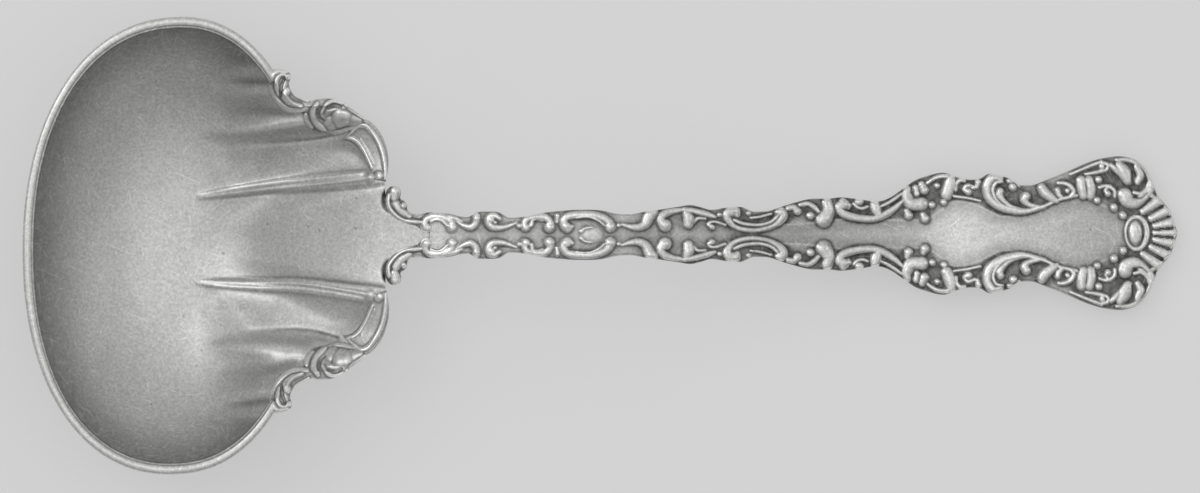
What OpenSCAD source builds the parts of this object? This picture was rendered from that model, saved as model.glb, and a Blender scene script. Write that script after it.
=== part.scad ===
// Gravy ladle: a pressed silver bowl with an applied lip wire and shoulder mounts,
// soldered to a struck handle with scroll borders.
// Millimetres. +X runs from the bowl to the end of the handle, +Z is up, and the
// origin is on the flat that the bowl rests on, below the long axis of the handle.

/* [Bowl] */
// Plan distance from the bowl's centre to the front of the lip
bowl_front = 22.8; // [19:0.1:28]
// Plan distance from the bowl's centre to the neck joint
bowl_back = 34.3; // [31:0.1:40]
// Half of the bowl's greatest width, to the middle of the lip wire
bowl_half_width = 34.3; // [30:0.1:42]
// Height of the lip above the table
bowl_height = 18; // [15:0.5:22]
// Thickness of the silver sheet
sheet = 1.2; // [0.8:0.1:1.6]
// Radius of the flat that the bowl rests on
base_flat_r = 5; // [4:0.5:7]
// Sideways drift of the bowl for each millimetre in front of the neck joint
bowl_drift = 0.042; // [0:0.001:0.05]

/* [Lip and shoulders] */
// Diameter of the wire along the lip
lip_wire_d = 1.7; // [1.2:0.1:2.4]
// Greatest radius of the lip scrolls
lip_scroll_r = 1.5; // [1:0.1:1.8]
// Greatest radius of the leaf scrolls
leaf_scroll_r = 1.8; // [1.2:0.1:2.1]
// Radius of the beads of the cove borders
cove_bead_r = 0.6; // [0.4:0.1:0.8]
// Distance between the two beads of a cove border
cove_width = 2; // [1.6:0.1:2.6]
// Radius of the pressed ribs
rib_r = 0.8; // [0.5:0.1:0.9]
// Distance of each rib from the bowl's axis, at the neck
rib_offset = 8.7; // [8:0.1:10]

/* [Handle] */
// Plan length of the handle, from the neck joint to the tip
handle_length = 120.5; // [105:0.5:140]
// Half width of the stem
stem_half_width = 3.2; // [2.6:0.1:4]
// Half width of the end of the handle
terminal_half_width = 11.8; // [9:0.1:14]
// Thickness of the stem
stem_thickness = 2.6; // [2:0.1:3.4]
// Thickness of the end
terminal_thickness = 2.2; // [1.8:0.1:3]
// Height of the handle's mid-plane above the table, at the neck joint
neck_z = 14.6; // [12:0.1:17]
// Height of the handle's mid-plane at its crest
crest_z = 18.6; // [16:0.1:22]
// Drop of the tip, which meets the table, below the level part of the handle
tip_drop = 3; // [1:0.1:4]
// Height of the scrolls above the ground of the handle
relief = 0.8; // [0.4:0.1:1.2]
// Length of the bowl's tongue past the neck joint
tongue_length = 4.6; // [3.5:0.1:6]
// Length of the drop that carries the bowl, in front of the neck joint
drop_length = 10; // [7:0.5:12]
// Height of the oval boss above the ground
boss_height = 1.1; // [0.6:0.1:1.5]

/* [Hidden] */

silver = "#b9b9b6";
polished = "#cbcbc8";
// Solder film between two joined faces
film = 0.05;
// Room between a neck scroll and the edge of the tongue
scroll_room = 0.35;

// Curves

function mix(a, b, u) = a + (b - a) * u;
function clamp01(u) = max(0, min(1, u));
function ease(u) = let (c = clamp01(u)) c * c * (3 - 2 * c);
function span(a, b, n) = [for (i = [0 : n]) mix(a, b, i / n)];

// Smooth curve through a table of [x, y] pairs with rising x, level at its peaks and dips
function knot(table, x, i = 0) =
    i >= len(table) - 2 || x < table[i + 1][0] ? i : knot(table, x, i + 1);
function knot_slope(table, i) =
    let (a = table[max(0, i - 1)], p = table[i], b = table[min(len(table) - 1, i + 1)],
         turns = (p[1] - a[1]) * (b[1] - p[1]) < 0)
    turns ? 0 : (b[1] - a[1]) / (b[0] - a[0]);
function smooth(table, x) =
    let (i = knot(table, x), a = table[i], b = table[i + 1], h = b[0] - a[0],
         u = clamp01((x - a[0]) / h),
         sa = knot_slope(table, i) * h, sb = knot_slope(table, i + 1) * h)
    (2 * u ^ 3 - 3 * u ^ 2 + 1) * a[1] + (u ^ 3 - 2 * u ^ 2 + u) * sa
    + (3 * u ^ 2 - 2 * u ^ 3) * b[1] + (u ^ 3 - u ^ 2) * sb;

// Closed skins

function quads(rows, columns) =
    [for (i = [0 : rows - 2], j = [0 : columns - 1])
        let (a = i * columns + j, b = i * columns + (j + 1) % columns,
             c = a + columns, d = b + columns)
        each [[a, b, c], [b, d, c]]];
function fan(hub, first, n, flip) =
    [for (j = [0 : n - 1])
        let (a = first + j, b = first + (j + 1) % n)
        flip ? [hub, b, a] : [hub, a, b]];
function middle(ring) = [for (p = ring) 1] * ring / len(ring);

// Solid through a list of rings with the same number of points
module skin(rings) {
    n = len(rings[0]);
    m = len(rings);
    points = [for (ring = rings) each ring];
    hubs = [middle(rings[0]), middle(rings[m - 1])];
    polyhedron(concat(points, hubs),
               concat(quads(m, n),
                      fan(m * n, 0, n, true),
                      fan(m * n + 1, (m - 1) * n, n, false)));
}

// Rings of a tube of varying radius along a path that stays near level
function tube(path, radii, sides = 10) =
    let (last = len(path) - 1)
    [for (i = [0 : last])
        let (along = path[min(last, i + 1)] - path[max(0, i - 1)],
             side = cross([0, 0, 1], along) / norm(cross([0, 0, 1], along)),
             up = cross(along, side) / norm(cross(along, side)))
        [for (k = [0 : sides - 1])
            path[i] + radii[i] * (side * cos(360 * k / sides) - up * sin(360 * k / sides))]];

// Side view of the handle, in distance from the neck joint along X

crest_share = 0.22;
level_share = 0.76;
rest_z = terminal_thickness / 2;
level_z = rest_z + tip_drop;
drop_depth = 4.2;
handle_curve = [[-drop_length, neck_z - drop_depth],
                [0, neck_z],
                [crest_share * handle_length, crest_z],
                [0.36 * handle_length, mix(level_z, crest_z, 0.81)],
                [0.48 * handle_length, mix(level_z, crest_z, 0.5)],
                [0.6 * handle_length, mix(level_z, crest_z, 0.19)],
                [0.68 * handle_length, mix(level_z, crest_z, 0.03)],
                [level_share * handle_length, level_z],
                [0.86 * handle_length, mix(level_z, rest_z, 0.15)],
                [handle_length, rest_z]];
function handle_z(s) = smooth(handle_curve, s);
function handle_thickness(s) =
    mix(stem_thickness, terminal_thickness, ease((s / handle_length - 0.4) / 0.3));
// Height of the plain ground over the mid-plane, as a share of the thickness
stem_ground = 0.3;
end_ground = 0.5;
end_start = 0.6;

// Bowl surface, in plan radius and angle from the neck

lip_squareness = 2.2;
// Half axis of the lip's oval towards the handle
lip_back = 20.4;
// Outline of the tongue: share of its length past the neck joint, and half width there
tongue_outline = [[1, 0], [1, 1.3], [0.3, 2], [-0.15, 3.3]];
// Outline of one shoulder, from the tongue to the notch under the lip scroll, in shares
// of the bowl's back and half width
shoulder_shares = [[0.94, 0.159], [0.935, 0.257], [0.93, 0.339], [0.87, 0.482], [0.74, 0.585],
                   [0.61, 0.6], [0.54, 0.6]];
shoulder_points = concat(
    [for (p = tongue_outline) [bowl_back + p[0] * tongue_length, p[1]]],
    [for (p = shoulder_shares) [p[0] * bowl_back, p[1] * bowl_half_width]]);
lip_start = 58;
shoulder_table = concat([for (p = shoulder_points) [atan2(p[1], p[0]), norm(p)]],
                        [[lip_start, lip_radius(lip_start)], [lip_start + 10, lip_radius(lip_start + 10)]]);

function lip_radius(angle) =
    let (half = cos(angle) < 0 ? bowl_front : lip_back)
    ((abs(cos(angle)) / half) ^ lip_squareness
     + (abs(sin(angle)) / bowl_half_width) ^ lip_squareness) ^ (-1 / lip_squareness);
function edge_radius(angle) =
    let (a = abs(angle)) a < lip_start ? smooth(shoulder_table, a) : lip_radius(a);

// Radius and height where the wall's rise ends: the edge under the wire at the lip, and
// the tongue's end, flush with the handle's ground, at the neck
lip_edge_z = bowl_height - lip_wire_d;
tongue_end_z = handle_z(tongue_length) + stem_ground * stem_thickness;
neck_start = 20;
neck_end = 45;
function past_neck(angle) = ease((abs(angle) - neck_start) / (neck_end - neck_start));
function rise_radius(angle) = mix(bowl_back + tongue_length, edge_radius(angle), past_neck(angle));
function rise_z(angle) = mix(tongue_end_z, lip_edge_z, past_neck(angle));

// Rise of the wall from the flat to the edge: steepest at the lip, level again at the neck
lip_power = 2.4;
back_power = 1.7;
back_round = 2.5;
back_share = 0.85;
back_end = 25;
lip_wall_start = 65;
function back_wall(u) =
    mix(u ^ back_power, 1 - max(0, 1 - u ^ back_power) ^ back_round, back_share);
function wall(u, angle) =
    u <= 0 ? 0
    : mix(back_wall(u), u ^ lip_power, ease((abs(angle) - back_end) / (lip_wall_start - back_end)));

// Inside and outside of the sheet at a plan radius and angle
function inner_z(r, angle) =
    sheet + (rise_z(angle) - sheet) * wall((r - base_flat_r) / (rise_radius(angle) - base_flat_r), angle);
step = 0.3;
function wall_slope(r, angle) = (inner_z(r + step, angle) - inner_z(r - step, angle)) / (2 * step);
function outer_z(r, angle) =
    r <= base_flat_r ? 0 : max(0, inner_z(r, angle) - sheet * norm([1, wall_slope(r, angle)]));
function inner_at(p) = inner_z(norm([p[0], p[1]]), atan2(p[1], p[0]));
function outer_at(p) = outer_z(norm([p[0], p[1]]), atan2(p[1], p[0]));
function edge_z(angle) = inner_z(edge_radius(angle), angle);
function edge_point(angle, z) = [edge_radius(angle) * cos(angle), edge_radius(angle) * sin(angle), z];

// Angles of the bowl's mesh: close together where the shoulder turns
lip_steps = 18;
half_angles = concat(
    [for (i = [0 : len(shoulder_table) - 3])
        each [for (k = [0 : 2]) mix(shoulder_table[i][0], shoulder_table[i + 1][0], k / 3)]],
    span(lip_start, 180, lip_steps));
bowl_angles = concat(half_angles, [for (i = [len(half_angles) - 2 : -1 : 1]) -half_angles[i]]);
wall_steps = 14;

// Places on the right (1) or left (-1) of the bowl, which drifts to one side as it leaves the neck
function drifted(p) = [p[0], p[1] + bowl_drift * (p[0] - bowl_back), p[2]];
function on_side(rings, side) =
    [for (ring = rings)
        side > 0 ? [for (p = ring) drifted(p)]
        : [for (i = [len(ring) - 1 : -1 : 0]) drifted([ring[i][0], -ring[i][1], ring[i][2]])]];

function sheet_point(u, angle, inside) =
    let (r = mix(base_flat_r, edge_radius(angle), u))
    [r * cos(angle), r * sin(angle), inside ? inner_z(r, angle) : outer_z(r, angle)];
module bowl_sheet() {
    n = len(bowl_angles);
    shares = span(0, 1, wall_steps);
    inside = [for (u = shares) each [for (a = bowl_angles) sheet_point(u, a, true)]];
    outside = [for (i = [wall_steps : -1 : 0])
        each [for (a = bowl_angles) sheet_point(shares[i], a, false)]];
    rows = 2 * (wall_steps + 1);
    polyhedron([for (p = concat(inside, outside, [[0, 0, sheet], [0, 0, 0]])) drifted(p)],
               concat(quads(rows, n),
                      fan(rows * n, 0, n, true),
                      fan(rows * n + 1, (rows - 1) * n, n, false)));
}

// Pressed ridges of one shoulder: the long rib beside the neck and the short fold beside the scrolls
rib_start = 3;
rib_end = bowl_back - 3.2;
rib_spread = 1.6;
fold_offset = 18.4;
fold_start = 9;
fold_end = 21.5;
fold_r = 0.9;
rib_sink = 0.25;
fold_sink = 0.35;
// Share of full radius along a ridge, from its faint start to its rounded end
ridge_swell = [[0, 0.3], [0.45, 0.9], [0.8, 1], [0.93, 1.25], [0.97, 1.1], [1, 0.5]];
module ridge(x0, x1, y0, y1, r, sink, side) {
    shares = concat(span(0, 0.8, 6), [0.88, 0.93, 0.97, 1]);
    radii = [for (u = shares) r * smooth(ridge_swell, u)];
    path = [for (i = [0 : len(shares) - 1])
        let (p = [mix(x0, x1, shares[i]), mix(y0, y1, shares[i])])
        [p[0], p[1], inner_at(p) - sink * radii[i]]];
    skin(on_side(tube(path, radii, 8), side));
}

module bowl() {
    color(silver) union() {
        bowl_sheet();
        for (side = [-1, 1]) {
            ridge(rib_start, rib_end, rib_offset - rib_spread, rib_offset, rib_r, rib_sink, side);
            ridge(fold_start, fold_end, fold_offset - rib_spread, fold_offset, fold_r, fold_sink, side);
        }
    }
}

// Lip wire and shoulder mounts

function on_edge(angle, r, inset = 0) =
    edge_point(angle, edge_z(angle) + r + film) - inset * [cos(angle), sin(angle), 0];

// Angle from the start of the lip to the lip scroll's end, and on to the wire
wire_gap = 1.6;
module lip_wire() {
    first = lip_start + 2 * wire_gap;
    angles = span(first, 360 - first, 56);
    path = [for (a = angles)
        let (b = a > 180 ? a - 360 : a) on_edge(b, lip_wire_d / 2)];
    color(polished) skin(on_side(tube(path, [for (p = path) lip_wire_d / 2]), 1));
}

// Swelling scroll along the edge, between two plan angles, that leans in over the sheet
scroll_tip_r = 0.5;
scroll_stations = 14;
function swell(u, r) = mix(scroll_tip_r, r, sin(180 * u) ^ 0.7);
module edge_scroll(from, to, r, lean, side) {
    shares = span(0, 1, scroll_stations);
    path = [for (u = shares) on_edge(mix(from, to, u), swell(u, r), lean * sin(180 * u))];
    skin(on_side(tube(path, [for (u = shares) swell(u, r)], 12), side));
}

// Angle left free between neighbouring mounts
scroll_gap = 0.4;
lip_scroll_lean = -0.6;
leaf_scroll_lean = 0.3;
notch = shoulder_table[len(shoulder_table) - 3][0];
leaf_end = 33;
cove_start = 16;

module lip_scroll(side) {
    color(polished)
        edge_scroll(notch + scroll_gap, lip_start + wire_gap, lip_scroll_r, lip_scroll_lean, side);
}

module leaf_scroll(side) {
    color(polished)
        edge_scroll(leaf_end + scroll_gap, notch - scroll_gap, leaf_scroll_r, leaf_scroll_lean, side);
}

// Two beads with a hollow web between them, on the sheet along its edge
module cove_border(side) {
    angles = span(leaf_end - scroll_gap, cove_start, 10);
    color(polished) skin(on_side([for (a = angles) cove_ring(a)], side));
}
cove_span = cove_width + 2 * cove_bead_r;
function bead_arc(x, from, to) =
    [for (a = span(from, to, 5)) [x + cove_bead_r * cos(a), cove_bead_r * (1 + sin(a))]];
cove_profile = concat(bead_arc(cove_bead_r, 180, 20), bead_arc(cove_span - cove_bead_r, 160, 0),
                      [[cove_span, 0], [cove_span / 2, 0], [0, 0]]);
function cove_ring(angle) =
    let (out = [cos(angle), sin(angle), 0], base = edge_point(angle, 0))
    [for (q = cove_profile)
        let (p = base + (q[0] - cove_span + cove_bead_r) * out)
        [p[0], p[1], cove_floor(p, angle) + q[1]]];
// The border's foot follows the sheet, and stays level past its edge
function cove_floor(p, angle) =
    film + (norm([p[0], p[1]]) < edge_radius(angle) ? inner_at(p) : edge_z(angle));

module left_lip_scroll() { lip_scroll(-1); }
module right_lip_scroll() { lip_scroll(1); }
module left_leaf_scroll() { leaf_scroll(-1); }
module right_leaf_scroll() { leaf_scroll(1); }
module left_cove_border() { cove_border(-1); }
module right_cove_border() { cove_border(1); }

// Handle, in distance from the neck joint along X and offset across

// Outline of the handle: share of its length, and share of the way from the stem's
// half width to that of the end
handle_outline = [[0.022, -0.06], [0.038, 0.04], [0.055, 0.03], [0.085, -0.03], [0.103, 0.04], [0.13, 0.04],
                  [0.15, -0.04], [0.18, 0.01], [0.2, 0.06], [0.218, 0.04], [0.243, 0.085], [0.29, 0],
                  [0.33, 0.07], [0.35, 0.08], [0.37, 0.15], [0.4, 0.07], [0.43, 0.12], [0.465, 0.03],
                  [0.5, 0.15], [0.53, 0.26], [0.565, 0.28], [0.61, 0.2], [0.64, 0.36], [0.665, 0.62],
                  [0.695, 0.72], [0.73, 0.58], [0.76, 0.7], [0.808, 0.48], [0.85, 0.66], [0.885, 0.86],
                  [0.922, 1], [0.95, 0.92], [0.968, 0.62], [0.985, 0.25], [1, -0.25]];
function half_width(s) =
    mix(stem_half_width, terminal_half_width, smooth(handle_outline, s / handle_length));

// Scrolls of one border: [start, turn, end, half width, end radius], with each point as
// share of the length and share of the half width there
scrolls = [[[0.034, 0.30], [0.055, 0.85], [0.077, 0.40], 0.55, 0.75],
           [[0.082, 0.72], [0.094, 0.30], [0.103, 0.85], 0.55, 0.60],
           [[0.114, 0.85], [0.124, 0.32], [0.150, 0.60], 0.55, 0.50],
           [[0.162, 0.30], [0.180, 0.85], [0.200, 0.32], 0.55, 0.75],
           [[0.216, 0.28], [0.246, 0.88], [0.274, 0.34], 0.60, 0.85],
           [[0.285, 0.50], [0.314, 0.30], [0.328, 0.85], 0.55, 0.75],
           [[0.342, 0.30], [0.370, 0.86], [0.400, 0.70], 0.60, 0.85],
           [[0.421, 0.85], [0.458, 0.28], [0.495, 0.85], 0.60, 0.90],
           [[0.510, 0.78], [0.528, 0.88], [0.549, 0.42], 0.60, 1.05],
           [[0.570, 0.85], [0.600, 0.25], [0.640, 0.75], 0.70, 0.90],
           [[0.652, 0.86], [0.656, 0.60], [0.672, 0.42], 0.90, 1.20],
           [[0.690, 0.88], [0.700, 0.70], [0.700, 0.50], 0.90, 0.90],
           [[0.756, 0.88], [0.778, 0.38], [0.830, 0.55], 0.75, 0.80],
           [[0.836, 0.85], [0.860, 0.72], [0.880, 0.60], 1.00, 1.30],
           [[0.905, 0.88], [0.950, 0.70], [0.936, 0.36], 1.00, 1.40]];
scroll_steps = 8;
function scroll_point(c, u) =
    let (q = (1 - u) ^ 2 * c[0] + 2 * u * (1 - u) * (2 * c[1] - (c[0] + c[2]) / 2) + u ^ 2 * c[2],
         s = q[0] * handle_length)
    [s, q[1] * half_width(s)];
scroll_paths = [for (c = scrolls)
    [[for (u = span(0, 1, scroll_steps)) scroll_point(c, u)], c[3], c[4]]];

function dome(d, r) = d >= r ? 0 : sqrt(1 - (d / r) ^ 2);
function segment_distance(p, a, b) =
    let (ab = b - a, u = clamp01(((p - a) * ab) / max(1e-9, ab * ab))) norm(p - a - u * ab);
function path_height(p, path, r, ball) =
    let (near = min([for (i = [0 : scroll_steps - 1]) segment_distance(p, path[i], path[i + 1])]),
         ends = min(norm(p - path[0]), norm(p - path[scroll_steps])))
    max(dome(near, r), dome(ends, ball));
// Farthest that a scroll stands out past the ends of its path
scroll_reach = 3.5;
function scroll_height(p) =
    max([for (c = scroll_paths)
        let (path = c[0], ends = [path[0][0], path[scroll_steps][0]])
        p[0] < min(ends) - scroll_reach || p[0] > max(ends) + scroll_reach ? 0
        : path_height(p, path, c[1], c[2])]);

// Oval boss in a ring, and the shell that fans out behind it
boss_s = 0.945 * handle_length;
boss_half = [1.7, 2.4];
ring_gap = 0.55;
shell_flutes = 7;
shell_spread = 100;
function boss_height_at(p) =
    let (d = norm([(p[0] - boss_s) / boss_half[0], p[1] / boss_half[1]]))
    d < 1 ? sqrt(1 - d * d) : 0;
function shell_height_at(p) =
    let (q = [p[0] - boss_s, p[1]], a = abs(atan2(q[1], q[0])), r = norm(q),
         inner = boss_half[1] + ring_gap)
    a > shell_spread / 2 || r < inner ? 0
    : abs(cos(a * 180 * shell_flutes / shell_spread)) ^ 0.7 * ease((r - inner) / 1.2);

function ground(v, s) =
    mix(stem_ground, end_ground, ease((s / handle_length - end_start) / 0.1)) * handle_thickness(s)
    * sqrt(1 - 0.6 * abs(v) ^ 6);
function handle_top(s, v) =
    let (p = [s, abs(v) * half_width(s)],
         shape = max(relief * max(scroll_height(p), shell_height_at(p)),
                     boss_height * boss_height_at(p)))
    handle_z(s) + ground(v, s) + shape * (1 - abs(v) ^ 10);
function handle_bottom(s, v) = handle_z(s) - handle_thickness(s) / 2 * (1 - 0.55 * abs(v) ^ 4);

// Under the tongue the bar's top follows the back of the bowl
function in_bowl(p) = [p[0], p[1] - bowl_drift * (p[0] - bowl_back), 0];
drop_half_width = 3.4;
drop_tip_half = 1.2;
function drop_width(s) = mix(drop_tip_half, drop_half_width, ease((s + drop_length) / (0.8 * drop_length)));
function seat_top(s, y) = outer_at(in_bowl([bowl_back + s, y, 0])) - film;
drop_tip_thickness = 0.5;
drop_edge = 0.3;
seat_thickness = 2.2;
function seat_bottom(s, v) =
    let (u = ease((s + drop_length) / (drop_length + tongue_length)))
    seat_top(s, 0) - mix(drop_tip_thickness, seat_thickness, u) * (1 - 0.6 * abs(v) ^ 4);

top_columns = 28;
bottom_columns = 6;
bar_steps = 132;
seat_steps = 12;
seat_end = tongue_length + film;
function handle_ring(s) =
    let (w = half_width(s))
    concat([for (v = span(-1, 1, top_columns)) [bowl_back + s, v * w, handle_top(s, v)]],
           [for (v = span(1, -1, bottom_columns)) [bowl_back + s, v * w, handle_bottom(s, v)]]);
function seat_ring(s) =
    let (w = drop_width(s))
    concat([for (v = span(-1, 1, top_columns)) [bowl_back + s, v * w, seat_top(s, v * w)]],
           [for (v = span(1, -1, bottom_columns))
               [bowl_back + s, v * w, min(seat_bottom(s, v), seat_top(s, v * w) - drop_edge)]]);

module handle_bar() {
    skin(concat([for (s = span(-drop_length, tongue_length, seat_steps)) seat_ring(s)],
                [for (s = span(seat_end, handle_length, bar_steps)) handle_ring(s)]));
}

// Forked scroll beside the tongue
neck_scroll_r = 1.2;
module neck_scroll() {
    y0 = tongue_outline[2][1] + scroll_room + neck_scroll_r;
    turns = [[seat_end + 1.4, y0 - 1.3, 0.35], [seat_end + 0.4, y0 - 1, 0.7], [1.8, y0 - 0.2, 0.75],
             [0.5, y0 + 0.8, 0.8], [-0.1, y0 + 2, 1], [0.1, y0 + 2.9, 1.05], [0.5, y0 + 3.5, 0.7]];
    skin(tube([for (q = turns) [bowl_back + q[0], q[1], handle_z(q[0]) + 0.25 * stem_thickness]],
              [for (q = turns) neck_scroll_r * q[2]]));
}

module handle() {
    color(silver) union() {
        handle_bar();
        for (side = [0, 1]) mirror([0, side, 0]) neck_scroll();
    }
}

bowl();
lip_wire();
left_lip_scroll();
right_lip_scroll();
left_leaf_scroll();
right_leaf_scroll();
left_cove_border();
right_cove_border();
handle();
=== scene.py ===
"""Looks of the gravy ladle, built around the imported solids, in millimetres until a mesh is made."""

import math

import bpy
import numpy as np
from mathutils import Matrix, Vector, kdtree


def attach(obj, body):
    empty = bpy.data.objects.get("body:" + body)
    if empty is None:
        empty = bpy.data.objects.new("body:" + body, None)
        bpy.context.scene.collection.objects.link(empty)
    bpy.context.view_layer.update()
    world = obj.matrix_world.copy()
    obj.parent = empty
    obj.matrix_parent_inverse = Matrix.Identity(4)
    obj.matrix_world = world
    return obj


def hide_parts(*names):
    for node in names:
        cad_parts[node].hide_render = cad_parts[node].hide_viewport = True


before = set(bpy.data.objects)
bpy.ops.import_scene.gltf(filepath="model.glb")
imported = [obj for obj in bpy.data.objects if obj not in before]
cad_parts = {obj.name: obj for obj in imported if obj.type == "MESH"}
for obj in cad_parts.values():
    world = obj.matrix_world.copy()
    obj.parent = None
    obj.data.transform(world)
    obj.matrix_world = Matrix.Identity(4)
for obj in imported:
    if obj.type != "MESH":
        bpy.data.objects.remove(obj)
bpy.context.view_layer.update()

# Sizes of the solids, repeated here so that each piece lies where its solid is
BOWL_FRONT, BOWL_BACK, BOWL_HALF_WIDTH = 22.8, 34.3, 34.3
BOWL_HEIGHT, SHEET, BASE_FLAT_R, BOWL_DRIFT = 18.0, 1.2, 5.0, 0.042
LIP_WIRE_D, LIP_BACK, LIP_SQUARENESS, LIP_START = 1.7, 20.4, 2.2, 58.0
HANDLE_LENGTH, NECK_Z, CREST_Z, TIP_DROP = 120.5, 14.6, 18.6, 3.0
STEM_THICKNESS, END_THICKNESS = 2.6, 2.2
STEM_GROUND, END_GROUND = 0.3, 0.5
TONGUE_LENGTH, DROP_LENGTH, DROP_DEPTH = 4.6, 10.0, 4.2
FILM = 0.05

# Photograph: millimetres a pixel, column of the neck joint, and the row of the handle's axis
PIXEL = 0.1545
NECK_COLUMN = 400.0
AXIS_ROW, AXIS_COLUMN, AXIS_SLOPE = 235.5, 430.0, -0.0035
PHOTO_WIDTH = 1200


# Curves

def mix(a, b, u):
    return a + (b - a) * u


def ease(u):
    c = np.clip(u, 0, 1)
    return c * c * (3 - 2 * c)


def ramp(x, start, length):
    """Eased step from 0 to 1 over a length that begins at start. With -x and -start it runs backwards."""
    return ease((x - start) / length)


def quarter_round(u):
    return np.sqrt(1 - (1 - np.clip(u, 0, 1)) ** 2)


def smooth(table, x):
    """Smooth curve through a table of (x, y) rows, level at its peaks and dips."""
    t = np.asarray(table, float)
    before, after = np.vstack([t[:1], t[:-1]]), np.vstack([t[1:], t[-1:]])
    slope = (after[:, 1] - before[:, 1]) / (after[:, 0] - before[:, 0])
    slope[(t[:, 1] - before[:, 1]) * (after[:, 1] - t[:, 1]) < 0] = 0
    x = np.asarray(x, float)
    i = np.clip(np.searchsorted(t[:, 0], x, side="right") - 1, 0, len(t) - 2)
    h = t[i + 1, 0] - t[i, 0]
    u = np.clip((x - t[i, 0]) / h, 0, 1)
    return ((2 * u**3 - 3 * u**2 + 1) * t[i, 1] + (u**3 - 2 * u**2 + u) * h * slope[i]
            + (3 * u**2 - 2 * u**3) * t[i + 1, 1] + (u**3 - u**2) * h * slope[i + 1])


def through(points, spacing=0.5):
    """Catmull-Rom curve through points, sampled about every spacing."""
    p = np.asarray(points, float)
    if len(p) == 1:
        return p
    ends = np.vstack([2 * p[0] - p[1], p, 2 * p[-1] - p[-2]])
    out = []
    for a, b, c, d in zip(ends[:-3], ends[1:-2], ends[2:-1], ends[3:]):
        n = max(2, int(np.linalg.norm(c[:2] - b[:2]) / spacing))
        u = (np.arange(n) / n)[:, None]
        out.append(0.5 * (2 * b + (c - a) * u + (2 * a - 5 * b + 4 * c - d) * u**2
                          + (3 * b - a - 3 * c + d) * u**3))
    return np.vstack(out + [p[-1:]])


def evenly(points, n):
    """n points at equal steps along a curve through points."""
    fine = through(points, 0.2)
    run = np.concatenate([[0], np.cumsum(np.linalg.norm(np.diff(fine, axis=0), axis=1))])
    at = np.linspace(0, run[-1], n)
    return np.stack([np.interp(at, run, fine[:, k]) for k in range(fine.shape[1])], axis=1)


# Places in the photograph

def axis_row(column):
    return AXIS_ROW + AXIS_SLOPE * (column - AXIS_COLUMN)


def along(column):
    """Distance in millimetres from the neck joint, along the handle's axis."""
    return (column - NECK_COLUMN) * PIXEL


# Side view of the handle, and its descent from the crest: (share of its length, share of the height)

REST_Z = END_THICKNESS / 2
LEVEL_Z = REST_Z + TIP_DROP
DESCENT = [(0.22, 1), (0.36, 0.81), (0.48, 0.5), (0.6, 0.19), (0.68, 0.03), (0.76, 0)]
HANDLE_CURVE = ([(-DROP_LENGTH, NECK_Z - DROP_DEPTH), (0, NECK_Z)]
                + [(u * HANDLE_LENGTH, mix(LEVEL_Z, CREST_Z, rise)) for u, rise in DESCENT]
                + [(0.86 * HANDLE_LENGTH, mix(LEVEL_Z, REST_Z, 0.15)), (HANDLE_LENGTH, REST_Z)])


def handle_z(s):
    return smooth(HANDLE_CURVE, s)


# Surface of the bowl, with angles in degrees from the neck

# Angle at which a change of the wall begins, and how far it runs
NECK_BLEND, SHOULDER_BLEND, SIDE_BLEND, LIP_BLEND = (18, 34), (12, 18), (20, 70), (62, 12)
# Powers of the wall's curve
BACK_POWER, BACK_ROUND, BACK_SHARE = 1.7, 2.5, 0.85
SHOULDER_POWER, SIDE_POWER = 1.35, 2.4
# Spread, in degrees, over which corners of the outline are evened out, and step for the slope of the wall
CORNER_SPREAD, SLOPE_STEP = 7.0, 0.3


def lip_radius(angle):
    a = np.radians(angle)
    half = np.where(np.cos(a) < 0, BOWL_FRONT, LIP_BACK)
    return ((abs(np.cos(a)) / half) ** LIP_SQUARENESS
            + (abs(np.sin(a)) / BOWL_HALF_WIDTH) ** LIP_SQUARENESS) ** (-1 / LIP_SQUARENESS)


TONGUE = [(1, 0), (1, 1.3), (0.3, 2), (-0.15, 3.3)]
SHOULDER = [(0.94, 0.159), (0.935, 0.257), (0.93, 0.339), (0.87, 0.482), (0.74, 0.585), (0.61, 0.6),
            (0.54, 0.6)]
SHOULDER_POINTS = ([(BOWL_BACK + x * TONGUE_LENGTH, y) for x, y in TONGUE]
                   + [(x * BOWL_BACK, y * BOWL_HALF_WIDTH) for x, y in SHOULDER])
SHOULDER_TABLE = ([(math.degrees(math.atan2(y, x)), math.hypot(x, y)) for x, y in SHOULDER_POINTS]
                  + [(a, float(lip_radius(a))) for a in (LIP_START, LIP_START + 10)])
LIP_EDGE_Z = BOWL_HEIGHT - LIP_WIRE_D
TONGUE_END_Z = float(handle_z(TONGUE_LENGTH)) + STEM_GROUND * STEM_THICKNESS


def edge_radius(angle):
    a = abs(angle)
    return np.where(a < LIP_START, smooth(SHOULDER_TABLE, a), lip_radius(a))


TURN = np.arange(-180, 180)
NEAR = np.exp(-0.5 * (((TURN[:, None] - TURN[None, :] + 180) % 360 - 180) / CORNER_SPREAD) ** 2)
EVEN_REACH = NEAR @ edge_radius(TURN) / NEAR.sum(axis=1)


def wall_reach(angle):
    """Radius at which the wall ends, with the corners of its outline evened out before the lip begins."""
    a = abs(angle)
    return mix(np.interp(a, TURN, EVEN_REACH), edge_radius(a), ramp(a, *LIP_BLEND))


def back_wall(u):
    return mix(u**BACK_POWER, 1 - np.maximum(0, 1 - u**BACK_POWER) ** BACK_ROUND, BACK_SHARE)


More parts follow.
